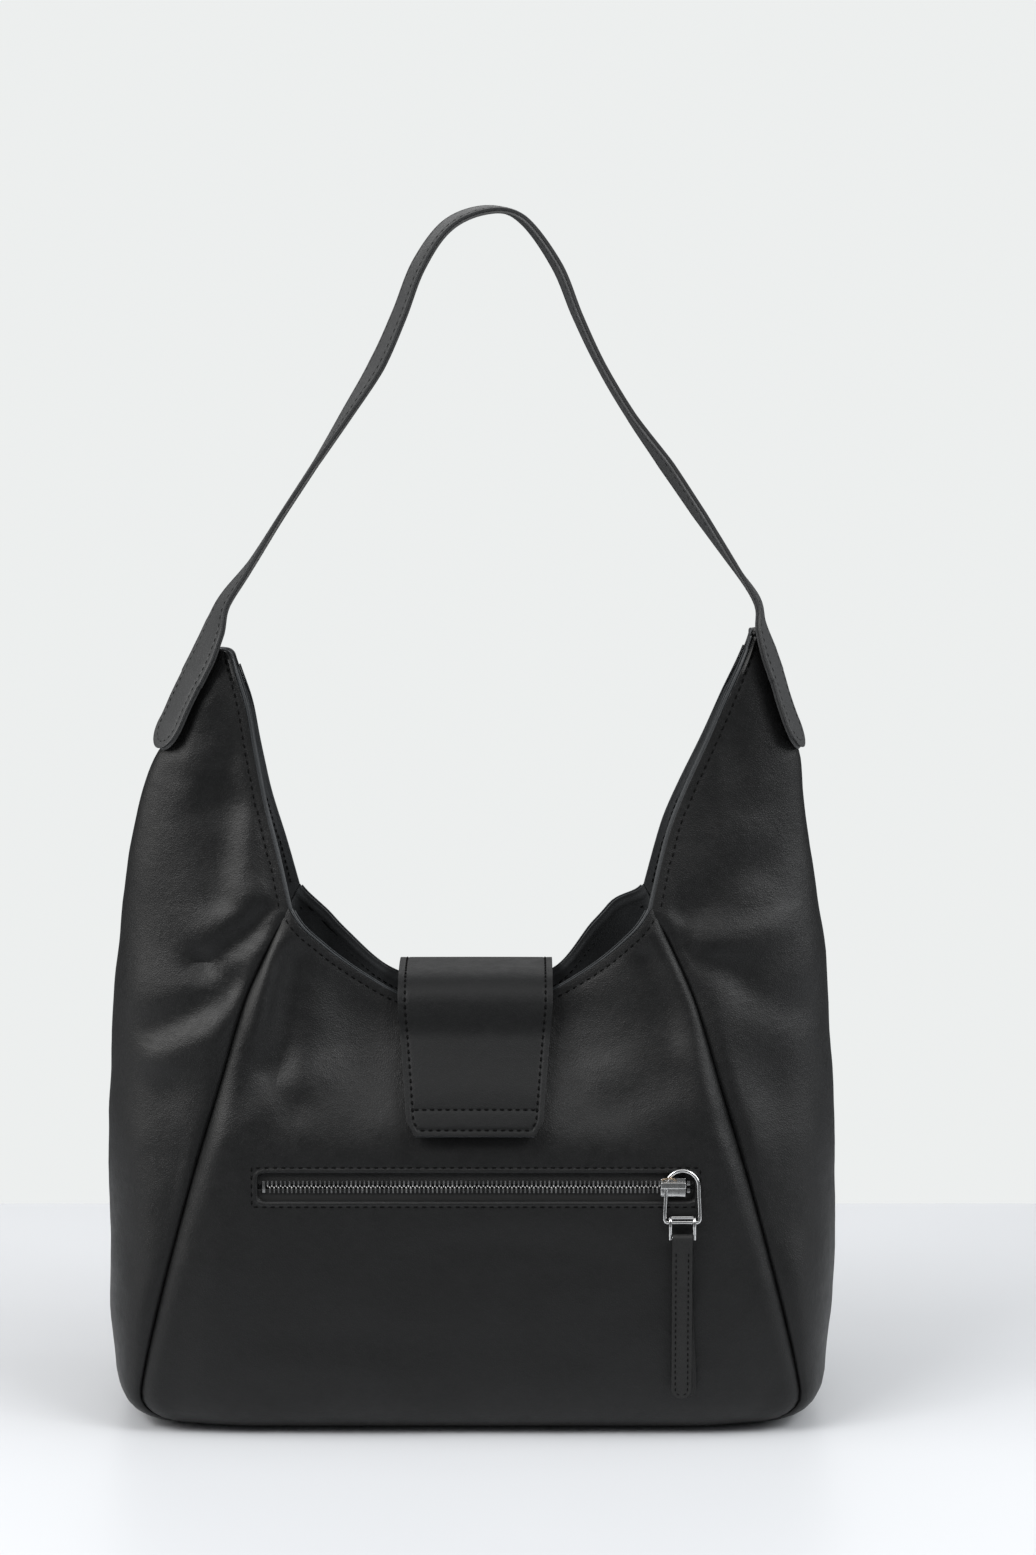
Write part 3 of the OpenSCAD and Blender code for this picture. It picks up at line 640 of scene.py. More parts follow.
cloth = {"thick": 0.8, "puckers": 1.6, "waves": 1.2, "drop": 2.76, "inset": 7.5, "topInset": 3.8}


def liningPoint(w, v):
    # hangs loose inside the shell and is held at the base and under the facing
    up = min(1, v / cloth["drop"])
    inset = cloth["inset"] - (cloth["inset"] - cloth["topInset"]) * ramp(v, 2.35, cloth["drop"])
    spot = ringPoint(w, v, inset, plain=False)
    loose = ramp(up, 0.02, 0.2) * (1 - ramp(up, 0.86, 0.99))
    pull = loose * (cloth["puckers"] * (0.5 + fractal.noise(Vector((w * 9, v * 1.1, 3.1))))
                    + cloth["waves"] * fractal.noise(Vector((w * 3.2, v * 2.3, 8.4))))
    level = Vector((spot.x, spot.y, 0))
    return spot - level.normalized() * max(0, pull) * 1.4


liningRows = steps(0, 1, 6) + steps(1, 2, 16) + steps(2, cloth["drop"], 12) + [cloth["drop"]]
inner = gridMesh(ringColumns, liningRows, liningPoint)
bmesh.ops.remove_doubles(inner, verts=inner.verts[:], dist=0.00002)
floorEdges = [e for e in inner.edges if e.is_boundary and (e.verts[0].co.z + e.verts[1].co.z) / 2 < 0.012]
bmesh.ops.holes_fill(inner, edges=floorEdges, sides=len(floorEdges) + 1)
bmesh.ops.recalc_face_normals(inner, faces=inner.faces[:])
innerBag = makePiece(inner, "liningBag", liningCloth, replaced=["lining"])
thicken(innerBag, cloth["thick"])

# the base, with a sewn channel round its edge
foot = {"lift": 0.02, "border": 4, "channel": 1.2, "deep": 0.3}
outline = [ringPoint(w, 0, 0) for w in ringColumns[:-1]]
base = bmesh.new()
bmesh.ops.create_circle(base, cap_ends=True, segments=len(outline), radius=1)
base.verts.ensure_lookup_table()
for vert, spot in zip(base.verts, outline):
    vert.co = Vector((spot.x, spot.y, foot["lift"])) * mm
bmesh.ops.recalc_face_normals(base, faces=base.faces[:])
if sum((f.normal.z for f in base.faces)) > 0:
    bmesh.ops.reverse_faces(base, faces=base.faces[:])
bmesh.ops.inset_region(base, faces=base.faces[:], thickness=foot["border"] * mm)
bmesh.ops.inset_region(base, faces=[f for f in base.faces if len(f.verts) > 4],
                       thickness=foot["channel"] * mm, depth=-foot["deep"] * mm)
basePiece = makePiece(base, "baseLeather", nappa, replaced=["base_panel"])
thicken(basePiece, bag["leather"])
print("facings, lining and base made")

# patches inside the horns
patchInset = bag["leather"] + bag["facing"] + 0.15
for side, word in ((-1, "left"), (1, "right")):
    patch = gridMesh(steps(52, 128, 14) + [128], steps(3.5, 3.87, 12) + [3.87],
                     lambda t, v: gorePoint(side, t, v, patchInset), flip=side < 0)
    piece = makePiece(patch, word + "HornPatch", facingLeather,
                      replaced=[word + "_horn_patch"])
    thicken(piece, 1.0, 0.3)


# stitches, with a finer row inside the mouth
stitch = {"pitch": 4.2, "long": 2.9, "wide": 0.95, "high": 0.9}


def sewRow(bm, path, outward, unit=mm, sunk=0.0, **changes):
    # stitches spaced evenly along a path, each lying on the surface that outward stands up from
    own = {**stitch, **changes}
    run = [0.0]
    for a, b in zip(path, path[1:]):
        run.append(run[-1] + (b - a).length)
    count = max(1, int(run[-1] / own["pitch"]))
    step, k = run[-1] / count, 0
    for i in range(count):
        at = (i + 0.5) * step
        while k < len(run) - 2 and run[k + 1] < at:
            k += 1
        t = (at - run[k]) / max(1e-9, run[k + 1] - run[k])
        spot = path[k].lerp(path[k + 1], t)
        along = (path[k + 1] - path[k]).normalized()
        up = outward[k].lerp(outward[k + 1], t).normalized()
        across = up.cross(along).normalized()
        turn = Matrix((along, across, up)).transposed().to_4x4()
        size = Matrix.Diagonal((own["long"] / 2, own["wide"] / 2, own["high"] / 2, 1))
        bmesh.ops.create_icosphere(bm, subdivisions=1, radius=unit,
                                   matrix=Matrix.Translation((spot - up * sunk) * unit) @ turn @ size)


def surfaceRun(place, keys, eps):
    # points and outward normals of a surface along a list of (first, second) keys
    spots, ups = [], []
    for a, b in keys:
        spot = place(a, b)
        da = place(a + eps[0], b) - place(a - eps[0], b)
        db = place(a, b + eps[1]) - place(a, b - eps[1])
        up = da.cross(db).normalized()
        spots.append(spot)
        ups.append(up)
    return spots, ups


def neckKeys(drop, end=0.992, count=90):
    # along the neckline at a level distance below it
    keys = []
    for i in range(count + 1):
        u = end * (2 * i / count - 1)
        keys.append((u, 2 + (neckline(u) - drop - bag["level"]) / (neckline(u) - bag["level"])))
    return keys


def hornKeys(side, back, drop):
    # up a horn's edge at a level distance in from it
    keys = []
    for i in range(49):
        v = 3.0 + 0.975 * i / 48
        z = rowAt(v, bag["seamTop"], 0)[0]
        span, d = sideOut(side, z) - seamX(z), halfDepth(z)
        turn = 0.5
        while turn < 80:
            arc = math.hypot(span * math.sin(math.radians(turn)), d * (1 - math.cos(math.radians(turn))))
            if arc > drop:
                break
            turn += 0.5
        keys.append((180 - turn if back else turn, v))
    return keys


inside = bag["leather"] + bag["facing"] + 0.1
proud, fine = {"sunk": -0.05}, {"pitch": 3.6, "wide": 0.6}
sewn = bmesh.new()
for back in (False, True):
    for inset, keys, look in ((0, neckKeys(bag["stitchIn"]), proud), (inside, neckKeys(9, 0.95), fine)):
        spots, ups = surfaceRun(lambda u, v: panelPoint(u, v, inset, back), keys, (0.004, 0.01))
        outward = 1 if back == (inset > 0) else -1
        sewRow(sewn, spots, [n * outward for n in ups], **look)
for side in (-1, 1):
    for back in (False, True):
        for inset, drop, look in ((0, bag["stitchIn"], proud), (inside, 4.6, fine)):
            keys = hornKeys(side, back, drop)
            spots, ups = surfaceRun(lambda t, v: gorePoint(side, t, v, inset), keys, (0.3, 0.004))
            sewRow(sewn, spots, [n * (side if not inset else -side) for n in ups], **look)
# round the zip's opening
middleX, middleZ = (bag["zipRight"] - bag["zipLeft"]) / 2, (bag["windowLow"] + bag["windowHigh"]) / 2
halfX, halfZ = bag["zipRight"] - middleX + rim["groove"], bag["windowHigh"] - middleZ + rim["groove"]
halfRing = [(x, -halfZ) for x in steps(-halfX, halfX, 60)] + [(halfX, z) for z in steps(-halfZ, halfZ, 8)]
ringPath = [(middleX + x, middleZ + z) for x, z in halfRing + [(-x, -z) for x, z in halfRing] + halfRing[:1]]
zipRing = [Vector((x, panelDepth(x, z, 0) + 0.2, z)) for x, z in ringPath]
zipUps = [Vector((0, -1, 0.1))] * len(zipRing)
sewRow(sewn, zipRing, zipUps, wide=1.1, sunk=-0.1)
makePiece(sewn, "bagStitches", thread)
print("bag stitches sewn")


# strap
strap = {"turn": 418, "foot": 344, "wide": 26, "clear": 4.2, "stitchIn": 3.5, "skin": 1.55, "notch": 39,
         "round": 34, "thick": 1.5, "edge": 0.45, "crown": 0.2, "dip": 0.3, "dipWide": 0.75,
         "turned": {-1: 30, 1: 15}, "forward": {-1: 4, 1: 3}, "bend": {-1: 0.38, 1: 0.15}}


def hornX(side, z):
    # the strap's line lies against the side of a horn that its tongue is turned to
    low, turn = min(z, bag["hornTop"]), math.radians(strap["turned"][side])
    out = math.hypot((sideOut(side, low) - seamX(low)) * math.cos(turn), halfDepth(low) * math.sin(turn))
    out += strap["clear"] / 2 - strap["forward"][side] * math.sin(turn)
    return side * (seamX(low) + out / math.cos(turn) - strap["bend"][side] * (z - low)) + leanAt(z)


# the line's points from the left tongue's foot over the top, and the twist in degrees at each
tongueZ = [strap["foot"] + 12 * i for i in range(5)]
upZ = [strap["turn"] - 13, strap["turn"]]
over = [(-110, 436), (-94, 461), (-77.5, 486), (-61.5, 511), (-46, 536), (-35, 560), (-25, 585),
        (-10.5, 604.5), (9, 612), (26, 607.5), (43, 585), (53.5, 560), (65, 536), (80, 511), (98, 486),
        (115, 461), (132, 436)]
twistAt = ([26] * 5 + [22, 11, 3, 0, 1, 8, 14, 13, 12, 9, 3, -5, -7, -6, -5, -6, -12, -10, -3, 4, 10]
           + [15] * 5)
strapLine = ([Vector((hornX(-1, z), z)) for z in tongueZ + upZ] + [Vector(p) for p in over]
             + [Vector((hornX(1, z), z)) for z in reversed(tongueZ + upZ)])
lastKnot = len(strapLine) - 1


def knotLine(s):
    i = min(int(max(s, 0)), lastKnot - 1)
    t = s - i
    a, b, c, d = [strapLine[min(max(k, 0), lastKnot)] for k in (i - 1, i, i + 1, i + 2)]
    if i == 0 or i == lastKnot - 1:
        return b + (c - b) * t
    return 0.5 * (2 * b + (c - a) * t + (2 * a - 5 * b + 4 * c - d) * t * t
                  + (3 * b - a - 3 * c + d) * t ** 3)


# the line measured along its length, in millimetres from the left tongue's end
strapSteps = [knotLine(i / 40) for i in range(40 * lastKnot + 1)]
reach = [0.0]
for a, b in zip(strapSteps, strapSteps[1:]):
    reach.append(reach[-1] + (b - a).length)
strapLong = reach[-1]


def lineAt(q):
    # position, direction and twist at a length q
    q = min(max(q, 0), strapLong)
    low, high = 0, len(reach) - 1
    while high - low > 1:
        middle = (low + high) // 2
        low, high = (middle, high) if reach[middle] <= q else (low, middle)
    t = (q - reach[low]) / (reach[high] - reach[low])
    a, b = strapSteps[max(low - 6, 0)], strapSteps[min(high + 6, len(strapSteps) - 1)]
    knot = (low + t) / 40
    i = min(int(knot), lastKnot - 1)
    return (strapSteps[low].lerp(strapSteps[high], t), (b - a).normalized(),
            math.radians(twistAt[i] + (twistAt[i + 1] - twistAt[i]) * (knot - i)))


def strapPoint(q, w, n):
    p, u, turn = lineAt(q)
    off = w * math.sin(turn) + n * math.cos(turn)
    forward = strap["forward"][-1 if p.x < 0 else 1] * (1 - ramp(p.y, 392, 424))
    return Vector((p.x - u.y * off, w * math.cos(turn) - n * math.sin(turn) - forward, p.y + u.x * off))


def strapHalf(q):
    # the folded strap is a little wider than the flat tongues that it becomes
    end = min(q, strapLong - q)
    return strap["wide"] / 2 - 0.7 * (1 - ramp(end, strap["notch"] - 0.6, strap["notch"] + 0.6))


def strapFoot(q, w, half):
    # near both ends the rows bend round to the tongues' rounded feet
    end = min(q, strapLong - q)
    if end > strap["round"]:
        return q
    start = half - math.sqrt(max(0, (half + 0.01) ** 2 - w * w))
    shifted = start + (strap["round"] - start) * end / strap["round"]
    return shifted if q < strapLong / 2 else strapLong - shifted


def strapSkin(f, q, out, trim=0.0):
    half = strapHalf(q) - trim
    w = f * half
    at = strapFoot(q, w, half)
    edge = half - abs(w)
    end = min(at, strapLong - at)
    gap = half - math.hypot(w, half - end) if end < half else edge
    n = strap["skin"] + strap["crown"] * (1 - f * f)
    n -= strap["dip"] * (swell(gap, strap["stitchIn"], strap["dipWide"]) + math.exp(-gap / 0.5))
    return strapPoint(at, w, out * n)


across = mirrored([0.1, 0.3, 0.5, 0.64, 0.68, 0.71, 0.74, 0.77, 0.8, 0.84, 0.88, 0.92, 0.96, 0.985, 1])
tongueSteps = ([0, 0.3, 0.7, 1.2, 1.8, 2.4, 2.9, 3.4, 3.9, 4.5, 5.2, 6.5, 8.5] + list(range(11, 36, 3))
               + [37, 38.4, 38.8, 39.2, 39.6, 41])
stations = (tongueSteps + steps(44, strapLong - 44, 230) + [strapLong - 44]
            + [strapLong - q for q in reversed(tongueSteps)])
strapPieces = []
for out, trim, name, stood in ((1, 0, "strapOuterLeather", ["strap_outer", "strap_filler", "left_strap_tongue",
                                                            "right_strap_tongue"]),
                               (-1, 0.3, "strapInnerLeather", ["strap_lining"])):
    layer = gridMesh(across, stations, lambda f, q: strapSkin(f, q, out, trim), flip=out > 0)
    strapPieces.append(makePiece(layer, name, strapLeather, None, stood))
for piece in strapPieces:
    thicken(piece, strap["thick"], strap["edge"], even=False)

sewn = bmesh.new()
half = strap["wide"] / 2 - strap["stitchIn"] - 0.35
roundEnd = [(half * math.sin(math.radians(a)), strap["wide"] / 2 - half * math.cos(math.radians(a)))
            for a in range(-84, 85, 7)]
for out in (1, -1):
    rows = ([(-half, q) for q in reversed(steps(13, strapLong - 13, 380))] + roundEnd
            + [(half, q) for q in steps(13, strapLong - 13, 380)]
            + [(-w, strapLong - q) for w, q in roundEnd])
    spots = [strapPoint(q, w, out * strap["skin"]) for w, q in rows]
    ups = [strapPoint(q, w, out * (strap["skin"] + 1)) - spot for (w, q), spot in zip(rows, spots)]
    sewRow(sewn, spots, ups, pitch=3.9, long=2.6, wide=0.7, sunk=0.27)
strapPieces.append(makePiece(sewn, "strapStitches", thread, None))
for piece in strapPieces:
    applyModifiers(piece)
    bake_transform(piece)
print("strap made")


# flap
flap = {"x": 2.5, "wide": 78, "endWide": 68, "endZ": 157, "stand": 5.6, 
        "stitchIn": 3.6, "low": 204, "face": 3.2, "under": 1.55, "dip": 0.3, "dipWide": 0.7, "bow": 0.5,
        "rows": (3.2, 11.6)}
# depth and height of its line: up the back, over the neckline and down the front
arch = [(26.2, 224), (19.5, 227), (7, 228.8), (-8, 228.8), (-20, 227.4), (-27.8, 224), (-32, 217.5)]
rootLine = [(0.9 - panelDepth(0, z, 0), z) for z in (178, 188, 198, 208)]
flapStep = (flap["low"] - flap["endZ"]) / 6
lowLine = [(panelDepth(flap["x"], flap["low"] - flapStep * q, -flap["stand"]), flap["low"] - flapStep * q)
           for q in range(7)]
flapLine = [Vector(p) for p in rootLine + [(28.2, 216)] + arch + lowLine]
flapLast = len(flapLine) - 1


def flapAt(s):
    i = min(int(max(s, 0)), flapLast - 1)
    t = s - i
    a, b, c, d = [flapLine[min(max(k, 0), flapLast)] for k in (i - 1, i, i + 1, i + 2)]
    return 0.5 * (2 * b + (c - a) * t + (2 * a - 5 * b + 4 * c - d) * t * t
                  + (3 * b - a - 3 * c + d) * t ** 3)


def flapHalf(s, trim=0.0):
    # half width: full over the top, tapering down the front to sloped corners
    z, top, end = flapAt(s).y, flap["wide"] / 2, flap["endWide"] / 2
    if s < 9:
        return top - trim
    half = end + (top - end) * min(1, max(0, (z - flap["endZ"] - 5) / (217 - flap["endZ"] - 5)))
    if z < flap["endZ"] + 6.5:
        half -= (flap["endZ"] + 6.5 - z) * 0.62
    return half - trim


def flapPoint(s, f, n, trim=0.0):
    p = flapAt(s)
    t = (flapAt(s + 0.02) - flapAt(s - 0.02)).normalized()
    half = flapHalf(s, trim)
    out = n + flap["bow"] * (1 - f * f) * ramp(s, 5, 9)
    return Vector((flap["x"] + f * half, p.x + t.y * out, p.y - t.x * out))


def flapOuterPoint(f, s):
    edge = flap["wide"] / 2 * (1 - abs(f))
    low = (flapLast - s) * flapStep
    dips = swell(edge, flap["stitchIn"], flap["dipWide"]) * ramp(low, 2, 4)
    if edge > 3:
        dips += sum(swell(low, row, flap["dipWide"]) for row in flap["rows"])
    n = flap["face"] - flap["dip"] * dips
    return flapPoint(s, f, n)


flapAcross = mirrored([0, 0.15, 0.3, 0.45, 0.6, 0.75, 0.83, 0.87, 0.89, 0.908, 0.925, 0.94, 0.965, 0.985, 1])
lowSteps = [12.6, 12.1, 11.6, 11.1, 10.6, 9.5, 8, 6.5, 5, 4.2, 3.7, 3.2, 2.7, 2.2, 1.5, 0.8, 0.3, 0]
flapRows = (steps(0, 4, 14) + steps(4, 11, 44) + steps(11, 15.4, 14)
            + [flapLast - low / flapStep for low in lowSteps])
bm = gridMesh(flapAcross, flapRows, flapOuterPoint, flip=True)
outerFlap = makePiece(bm, "flapOuterLeather", flapLeather, None,
                      ["flap_outer", "flap_root"])
bm = gridMesh(flapAcross, flapRows, lambda f, s: flapPoint(s, f, flap["under"], 0.35), flip=True)
underFlap = makePiece(bm, "flapUnderLeather", facingLeather, None,
                      ["flap_lining", "flap_stiffener"])
for piece, thick, bevel in ((outerFlap, 1.6, 0.45), (underFlap, 1.5, 0.4)):
    thicken(piece, thick, bevel)
    applyModifiers(piece)
    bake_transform(piece)

def sewFlap(target, keys):
    # a row on the flap's face along (row, across) keys
    spots = [flapPoint(s, f, flap["face"] + 0.05) for s, f in keys]
    ups = [flapPoint(s, f, flap["face"] + 1.05) - spot for (s, f), spot in zip(keys, spots)]
    sewRow(target, spots, ups, pitch=3.8, long=2.7, wide=1.1, sunk=0.08)


def besideEdge(s, f):
    return s, f * (1 - flap["stitchIn"] / flapHalf(s))


sewn, sewnRoot = bmesh.new(), bmesh.new()
lowRows = [flapLast - row / flapStep for row in flap["rows"]]
for side in (-1, 1):
    sewFlap(sewnRoot, [besideEdge(s, side) for s in steps(0.6, 4.6, 30)])
    sewFlap(sewn, [besideEdge(s, side) for s in steps(6.3, lowRows[0], 90)])
level = steps(-1, 1, 40) + [1]
for s in lowRows:
    sewFlap(sewn, [besideEdge(s, f) for f in level])
for s in (0.5, 3.0):
    sewFlap(sewnRoot, [(s, f * 0.9) for f in level])
makePiece(sewn, "flapStitches", thread, "flap")
makePiece(sewnRoot, "flapRootStitches", thread, "bag")


# snap halves, turned as washers and domes
def turnedPiece(profile, name, paint, body, place, replaced=(), count=40):
    bm = bmesh.new()
    spots = [bm.verts.new((r * mm, 0, h * mm)) for r, h in profile]
    edges = [bm.edges.new(pair) for pair in zip(spots, spots[1:])]
    bmesh.ops.spin(bm, geom=spots + edges, cent=(0, 0, 0), axis=(0, 0, 1), angle=2 * math.pi, steps=count,
                   use_merge=True, use_duplicate=False)
    bmesh.ops.remove_doubles(bm, verts=bm.verts[:], dist=0.000005)
    bmesh.ops.recalc_face_normals(bm, faces=bm.faces[:])
    bmesh.ops.transform(bm, matrix=place, verts=bm.verts[:])
    return makePiece(bm, name, paint, body, replaced, sharp=35)


snap = {"z": 175, "reach": 4}
snapY, snapAbove, snapBelow = [panelDepth(flap["x"], snap["z"] + snap["reach"] * k, 0) for k in (0, 1, -1)]
snapTilt = math.atan2(snapAbove - snapBelow, 2 * snap["reach"])
atSnap = (Matrix.Translation(Vector((flap["x"], snapY, snap["z"])) * mm)
          @ Matrix.Rotation(math.radians(90) - snapTilt, 4, "X"))
turnedPiece([(3.05, 0.5), (3.05, 2.1), (3.5, 2.6), (4.6, 2.6), (5.0, 2.3), (7.6, 2.2), (8.3, 2.0), (8.9, 1.4),
             (9, 0.5), (3.05, 0.5)],
            "snapSocketRing", snapMetal, "bag", atSnap, ["snap_socket"])
turnedPiece([(0, 4.15), (8.4, 4.15), (8.9, 4.0), (9, 3.5), (8.8, 3.25), (5.2, 3.2), (5.0, 3.0), (3.6, 2.95),
             (2.5, 3.1), (2.3, 2.6), (2.3, 1.6), (2.0, 1.25), (0, 1.2)],
            "snapStudDisc", snapMetal, "flap", atSnap, ["snap_stud"])
for name, paint in (("socket_washer", snapMetal), ("stud_washer", snapMetal), ("base_board", board)):
    nodes[name].data.materials[0] = paint
print("flap and snap made")


# zip
zipper = {"z": 131, "tilt": 5.76733, "pitch": 2.2, "chainY": 2.7, "first": -101.6, "last": 102.7,
          "tapeLeft": -112, "tapeRight": 118, "tapeY": 2.4, "tape": 0.6, "stopFront": 1.4, "stopRear": 4.0}
slider = {"left": 95.2, "long": 12.5, "half": 4.8, "plate": 1.1, "front": 1.1, "rear": 4.3, "nose": 0.86}
atZip = (Matrix.Translation(Vector((0, panelDepth(0, zipper["z"], 0), zipper["z"])) * mm)
         @ Matrix.Rotation(math.radians(-zipper["tilt"]), 4, "X") @ Matrix.Scale(mm, 4))


def zipPiece(bm, name, paint, body="bag", replaced=(), place=atZip, sharp=35):
    bmesh.ops.transform(bm, matrix=place, verts=bm.verts[:])
    return makePiece(bm, name, paint, body, replaced, sharp)


def roundEdges(bm, edges, round_, segments):
    bmesh.ops.bevel(bm, geom=edges, offset=round_, offset_type="OFFSET", affect="EDGES",
                    segments=segments, profile=0.5, material=-1)


def roundedBlock(bm, low, high, round_, segments=2):
    # a block between two corners with its edges rounded
    size, middle = Vector(high) - Vector(low), (Vector(high) + Vector(low)) / 2
    made = bmesh.ops.create_cube(bm, size=1, matrix=Matrix.Translation(middle) @ Matrix.Diagonal((*size, 1)))
    edges = list({e for v in made["verts"] for e in v.link_edges})
    if round_:
        roundEdges(bm, edges, round_, segments)
    return made


def sweptWire(bm, path, radius, sides=12, closed=False, flatten=1.0):
    # rings of a round wire along a path, bridged one to the next
    rings = []
    count = len(path)
    lastSide = None
    for i, p in enumerate(path):
        a = path[(i - 1) % count] if closed or i else p
        b = path[(i + 1) % count] if closed or i < count - 1 else p
        along = (b - a).normalized()
        known = lastSide or Vector((0, 1, 0))
        sideways = (known - along * known.dot(along)).normalized()
        lastSide = sideways
        third = along.cross(sideways)
        turn = Matrix((sideways, third, along)).transposed().to_4x4()
        stand = Matrix.Translation(p) @ turn @ Matrix.Diagonal((flatten, 1, 1, 1))
        made = bmesh.ops.create_circle(bm, cap_ends=False, segments=sides, radius=radius, matrix=stand)
        rings.append(list({e for v in made["verts"] for e in v.link_edges}))
    pairs = list(zip(rings, rings[1:])) + ([(rings[-1], rings[0])] if closed else [])
    for one, two in pairs:
        bmesh.ops.bridge_loops(bm, edges=one + two)
    if not closed:
        for ring in (rings[0], rings[-1]):
            bmesh.ops.contextual_create(bm, geom=ring)


# thin beads along the neckline and up the horns, coloured lighter and bluer than the leather as a painted
# highlight on the folded edges
bead = {"radius": 0.42, "insets": (0.75, 2.4), "end": 0.985, "turn": 0.8}
rims = bmesh.new()
for inset in bead["insets"]:
    for back in (False, True):
        path = [panelPoint(u, 3, inset, back) for u in steps(-bead["end"], bead["end"], 80) + [bead["end"]]]
        sweptWire(rims, path, bead["radius"], 6)
    for side in (-1, 1):
        for turn in (bead["turn"], 180 - bead["turn"]):
            path = [gorePoint(side, turn, v, inset) for v in steps(3, 3 + bead["end"], 44)]
            sweptWire(rims, path, bead["radius"], 6)
bmesh.ops.recalc_face_normals(rims, faces=rims.faces[:])
bmesh.ops.scale(rims, vec=(mm, mm, mm), verts=rims.verts[:])
makePiece(rims, "paintedRimHighlights", rimHighlightPaint)


def tapePoint(side, x, q):
    # q is the distance from the middle of the zip
    cord = 0.35 * swell(q, 1.6, 0.7)
    return Vector((x, zipper["tapeY"] + 0.12 * math.sin(q * 2.2) - cord, side * q))


def addTooth(bm, x, side):
    # a rounded nose that meets the other row, on a block that grips the tape
    y, middle = zipper["chainY"], side * 1.9
    bmesh.ops.create_icosphere(bm, subdivisions=1, radius=1,
                               matrix=Matrix.Translation((x, y - 0.25, side * 0.35))
                               @ Matrix.Diagonal((0.62, 1.15, 0.75, 1)))
    block = bmesh.ops.create_cube(bm, size=1, matrix=Matrix.Translation((x, y - 0.1, middle))
                                  @ Matrix.Diagonal((1.05, 2.3, 2.8, 1)))
    for vert in block["verts"]:
        if vert.co.y < y - 0.5:
            vert.co.x = x + (vert.co.x - x) * 0.72
            vert.co.z = middle + (vert.co.z - middle) * 0.86


tapeColumns = steps(zipper["tapeLeft"], zipper["tapeRight"], 92) + [zipper["tapeRight"]]
for side, word in ((1, "upper"), (-1, "lower")):
    bm = gridMesh(tapeColumns, [1.3, 2.2, 3.2, 4.6, 6.2, 8, 10, 12, 14, 16],
                  lambda x, q: tapePoint(side, x, q), flip=side < 0, unit=1)
    tape = zipPiece(bm, word + "ZipTape", tapeCloth, replaced=["zip_tape_" + word], sharp=None)
    thicken(tape, zipper["tape"])
for side, word in ((1, "upper"), (-1, "lower")):
    bm = bmesh.new()
    for i in range(int((zipper["last"] - zipper["first"]) / zipper["pitch"])):
        addTooth(bm, zipper["first"] + (i + (0 if side > 0 else 0.5)) * zipper["pitch"] + 0.5, side)
    zipPiece(bm, word + "ZipTeeth", toothMetal, replaced=["zip_teeth_" + word])

bm = bmesh.new()
stopFront, stopRear = zipper["stopFront"], zipper["stopRear"]
roundedBlock(bm, (-103.8, stopFront, -3), (-102.2, stopRear, 3), 0.35)
stopX = slider["left"] + slider["long"] + 0.6
for z in (-3.1, 0.7):
    roundedBlock(bm, (stopX, stopFront, z), (stopX + 1.8, stopRear, z + 2.4), 0.35)
zipPiece(bm, "zipEndStops", toothMetal, replaced=["zip_stops"])

# slider: two plates, their flanges, the post between them and the loop that the ring hangs in
bm = bmesh.new()
left, right, front, rear = slider["left"], slider["left"] + slider["long"], slider["front"], slider["rear"]
for y in (front - slider["plate"], rear):
    plate = roundedBlock(bm, (left, y, -slider["half"]), (right, y + slider["plate"], slider["half"]), 0)
    for vert in plate["verts"]:
        if vert.co.x < left + 6:
            vert.co.z *= slider["nose"]
    roundEdges(bm, list({e for v in plate["verts"] for e in v.link_edges}), 0.42, 3)
for z in (-4.656, 3.977):
    for y in (front - 0.5, rear - 0.8):
        roundedBlock(bm, (left + 0.4, y, z), (right - 0.4, y + 1.3, z + 0.7), 0.2)
roundedBlock(bm, (left + 8.8, front - 0.5, -1.2), (left + 11, rear + 0.5, 1.2), 0.2)
roundedBlock(bm, (left, front - 5.1, -0.2), (right, front - 4.0, 3.2), 0.5, 4)
for x in (left, right - 1.1):
    roundedBlock(bm, (x, front - 4.9, -0.1), (x + 1.1, front - 0.4, 3.1), 0.4, 3)
zipPiece(bm, "sliderBody", nickel, "slider", ["zip_slider"])
bm = bmesh.new()
crownPath = [Vector((left + 0.4 + 7.4 * t, front - 4.4 + 1.2 * t,
                     3.5 + 1.5 * math.sin(math.pi * (0.15 + 0.75 * t)))) for t in steps(0, 1, 12) + [1]]
sweptWire(bm, crownPath, 0.55, 10, flatten=1.6)
zipPiece(bm, "sliderSpring", brass, "slider")

# ring, frame, pin and tab
ring = {"x": slider["left"] + 10.8, "y": -1.5, "wide": 8.2, "flare": 0.55, "wire": 0.98, "low": -17.4}


def ringSpot(x, z):
    return Vector((ring["x"] + x, ring["y"], z))


arc = [math.radians(a) for a in range(0, 181, 12)]
legs = [(ring["wide"] + ring["flare"] * ramp(-z, 0, 15), z) for z in (-3, -6.5, -10, -13.5, -16)]
path = ([ringSpot(ring["wide"] * math.cos(t), 0.5 + ring["wide"] * math.sin(t)) for t in arc]
        + [ringSpot(-x, z) for x, z in legs] + [ringSpot(-8.3, ring["low"] + 0.4)]
        + [ringSpot(x, ring["low"]) for x in (-7.5, -4, 0, 4, 7.5)] + [ringSpot(8.3, ring["low"] + 0.4)]
        + [ringSpot(x, z) for x, z in reversed(legs)])
bm = bmesh.new()
sweptWire(bm, path, ring["wire"], 14, closed=True)
bmesh.ops.recalc_face_normals(bm, faces=bm.faces[:])
zipPiece(bm, "pullRingWire", nickel, "ring", ["pull_ring"])

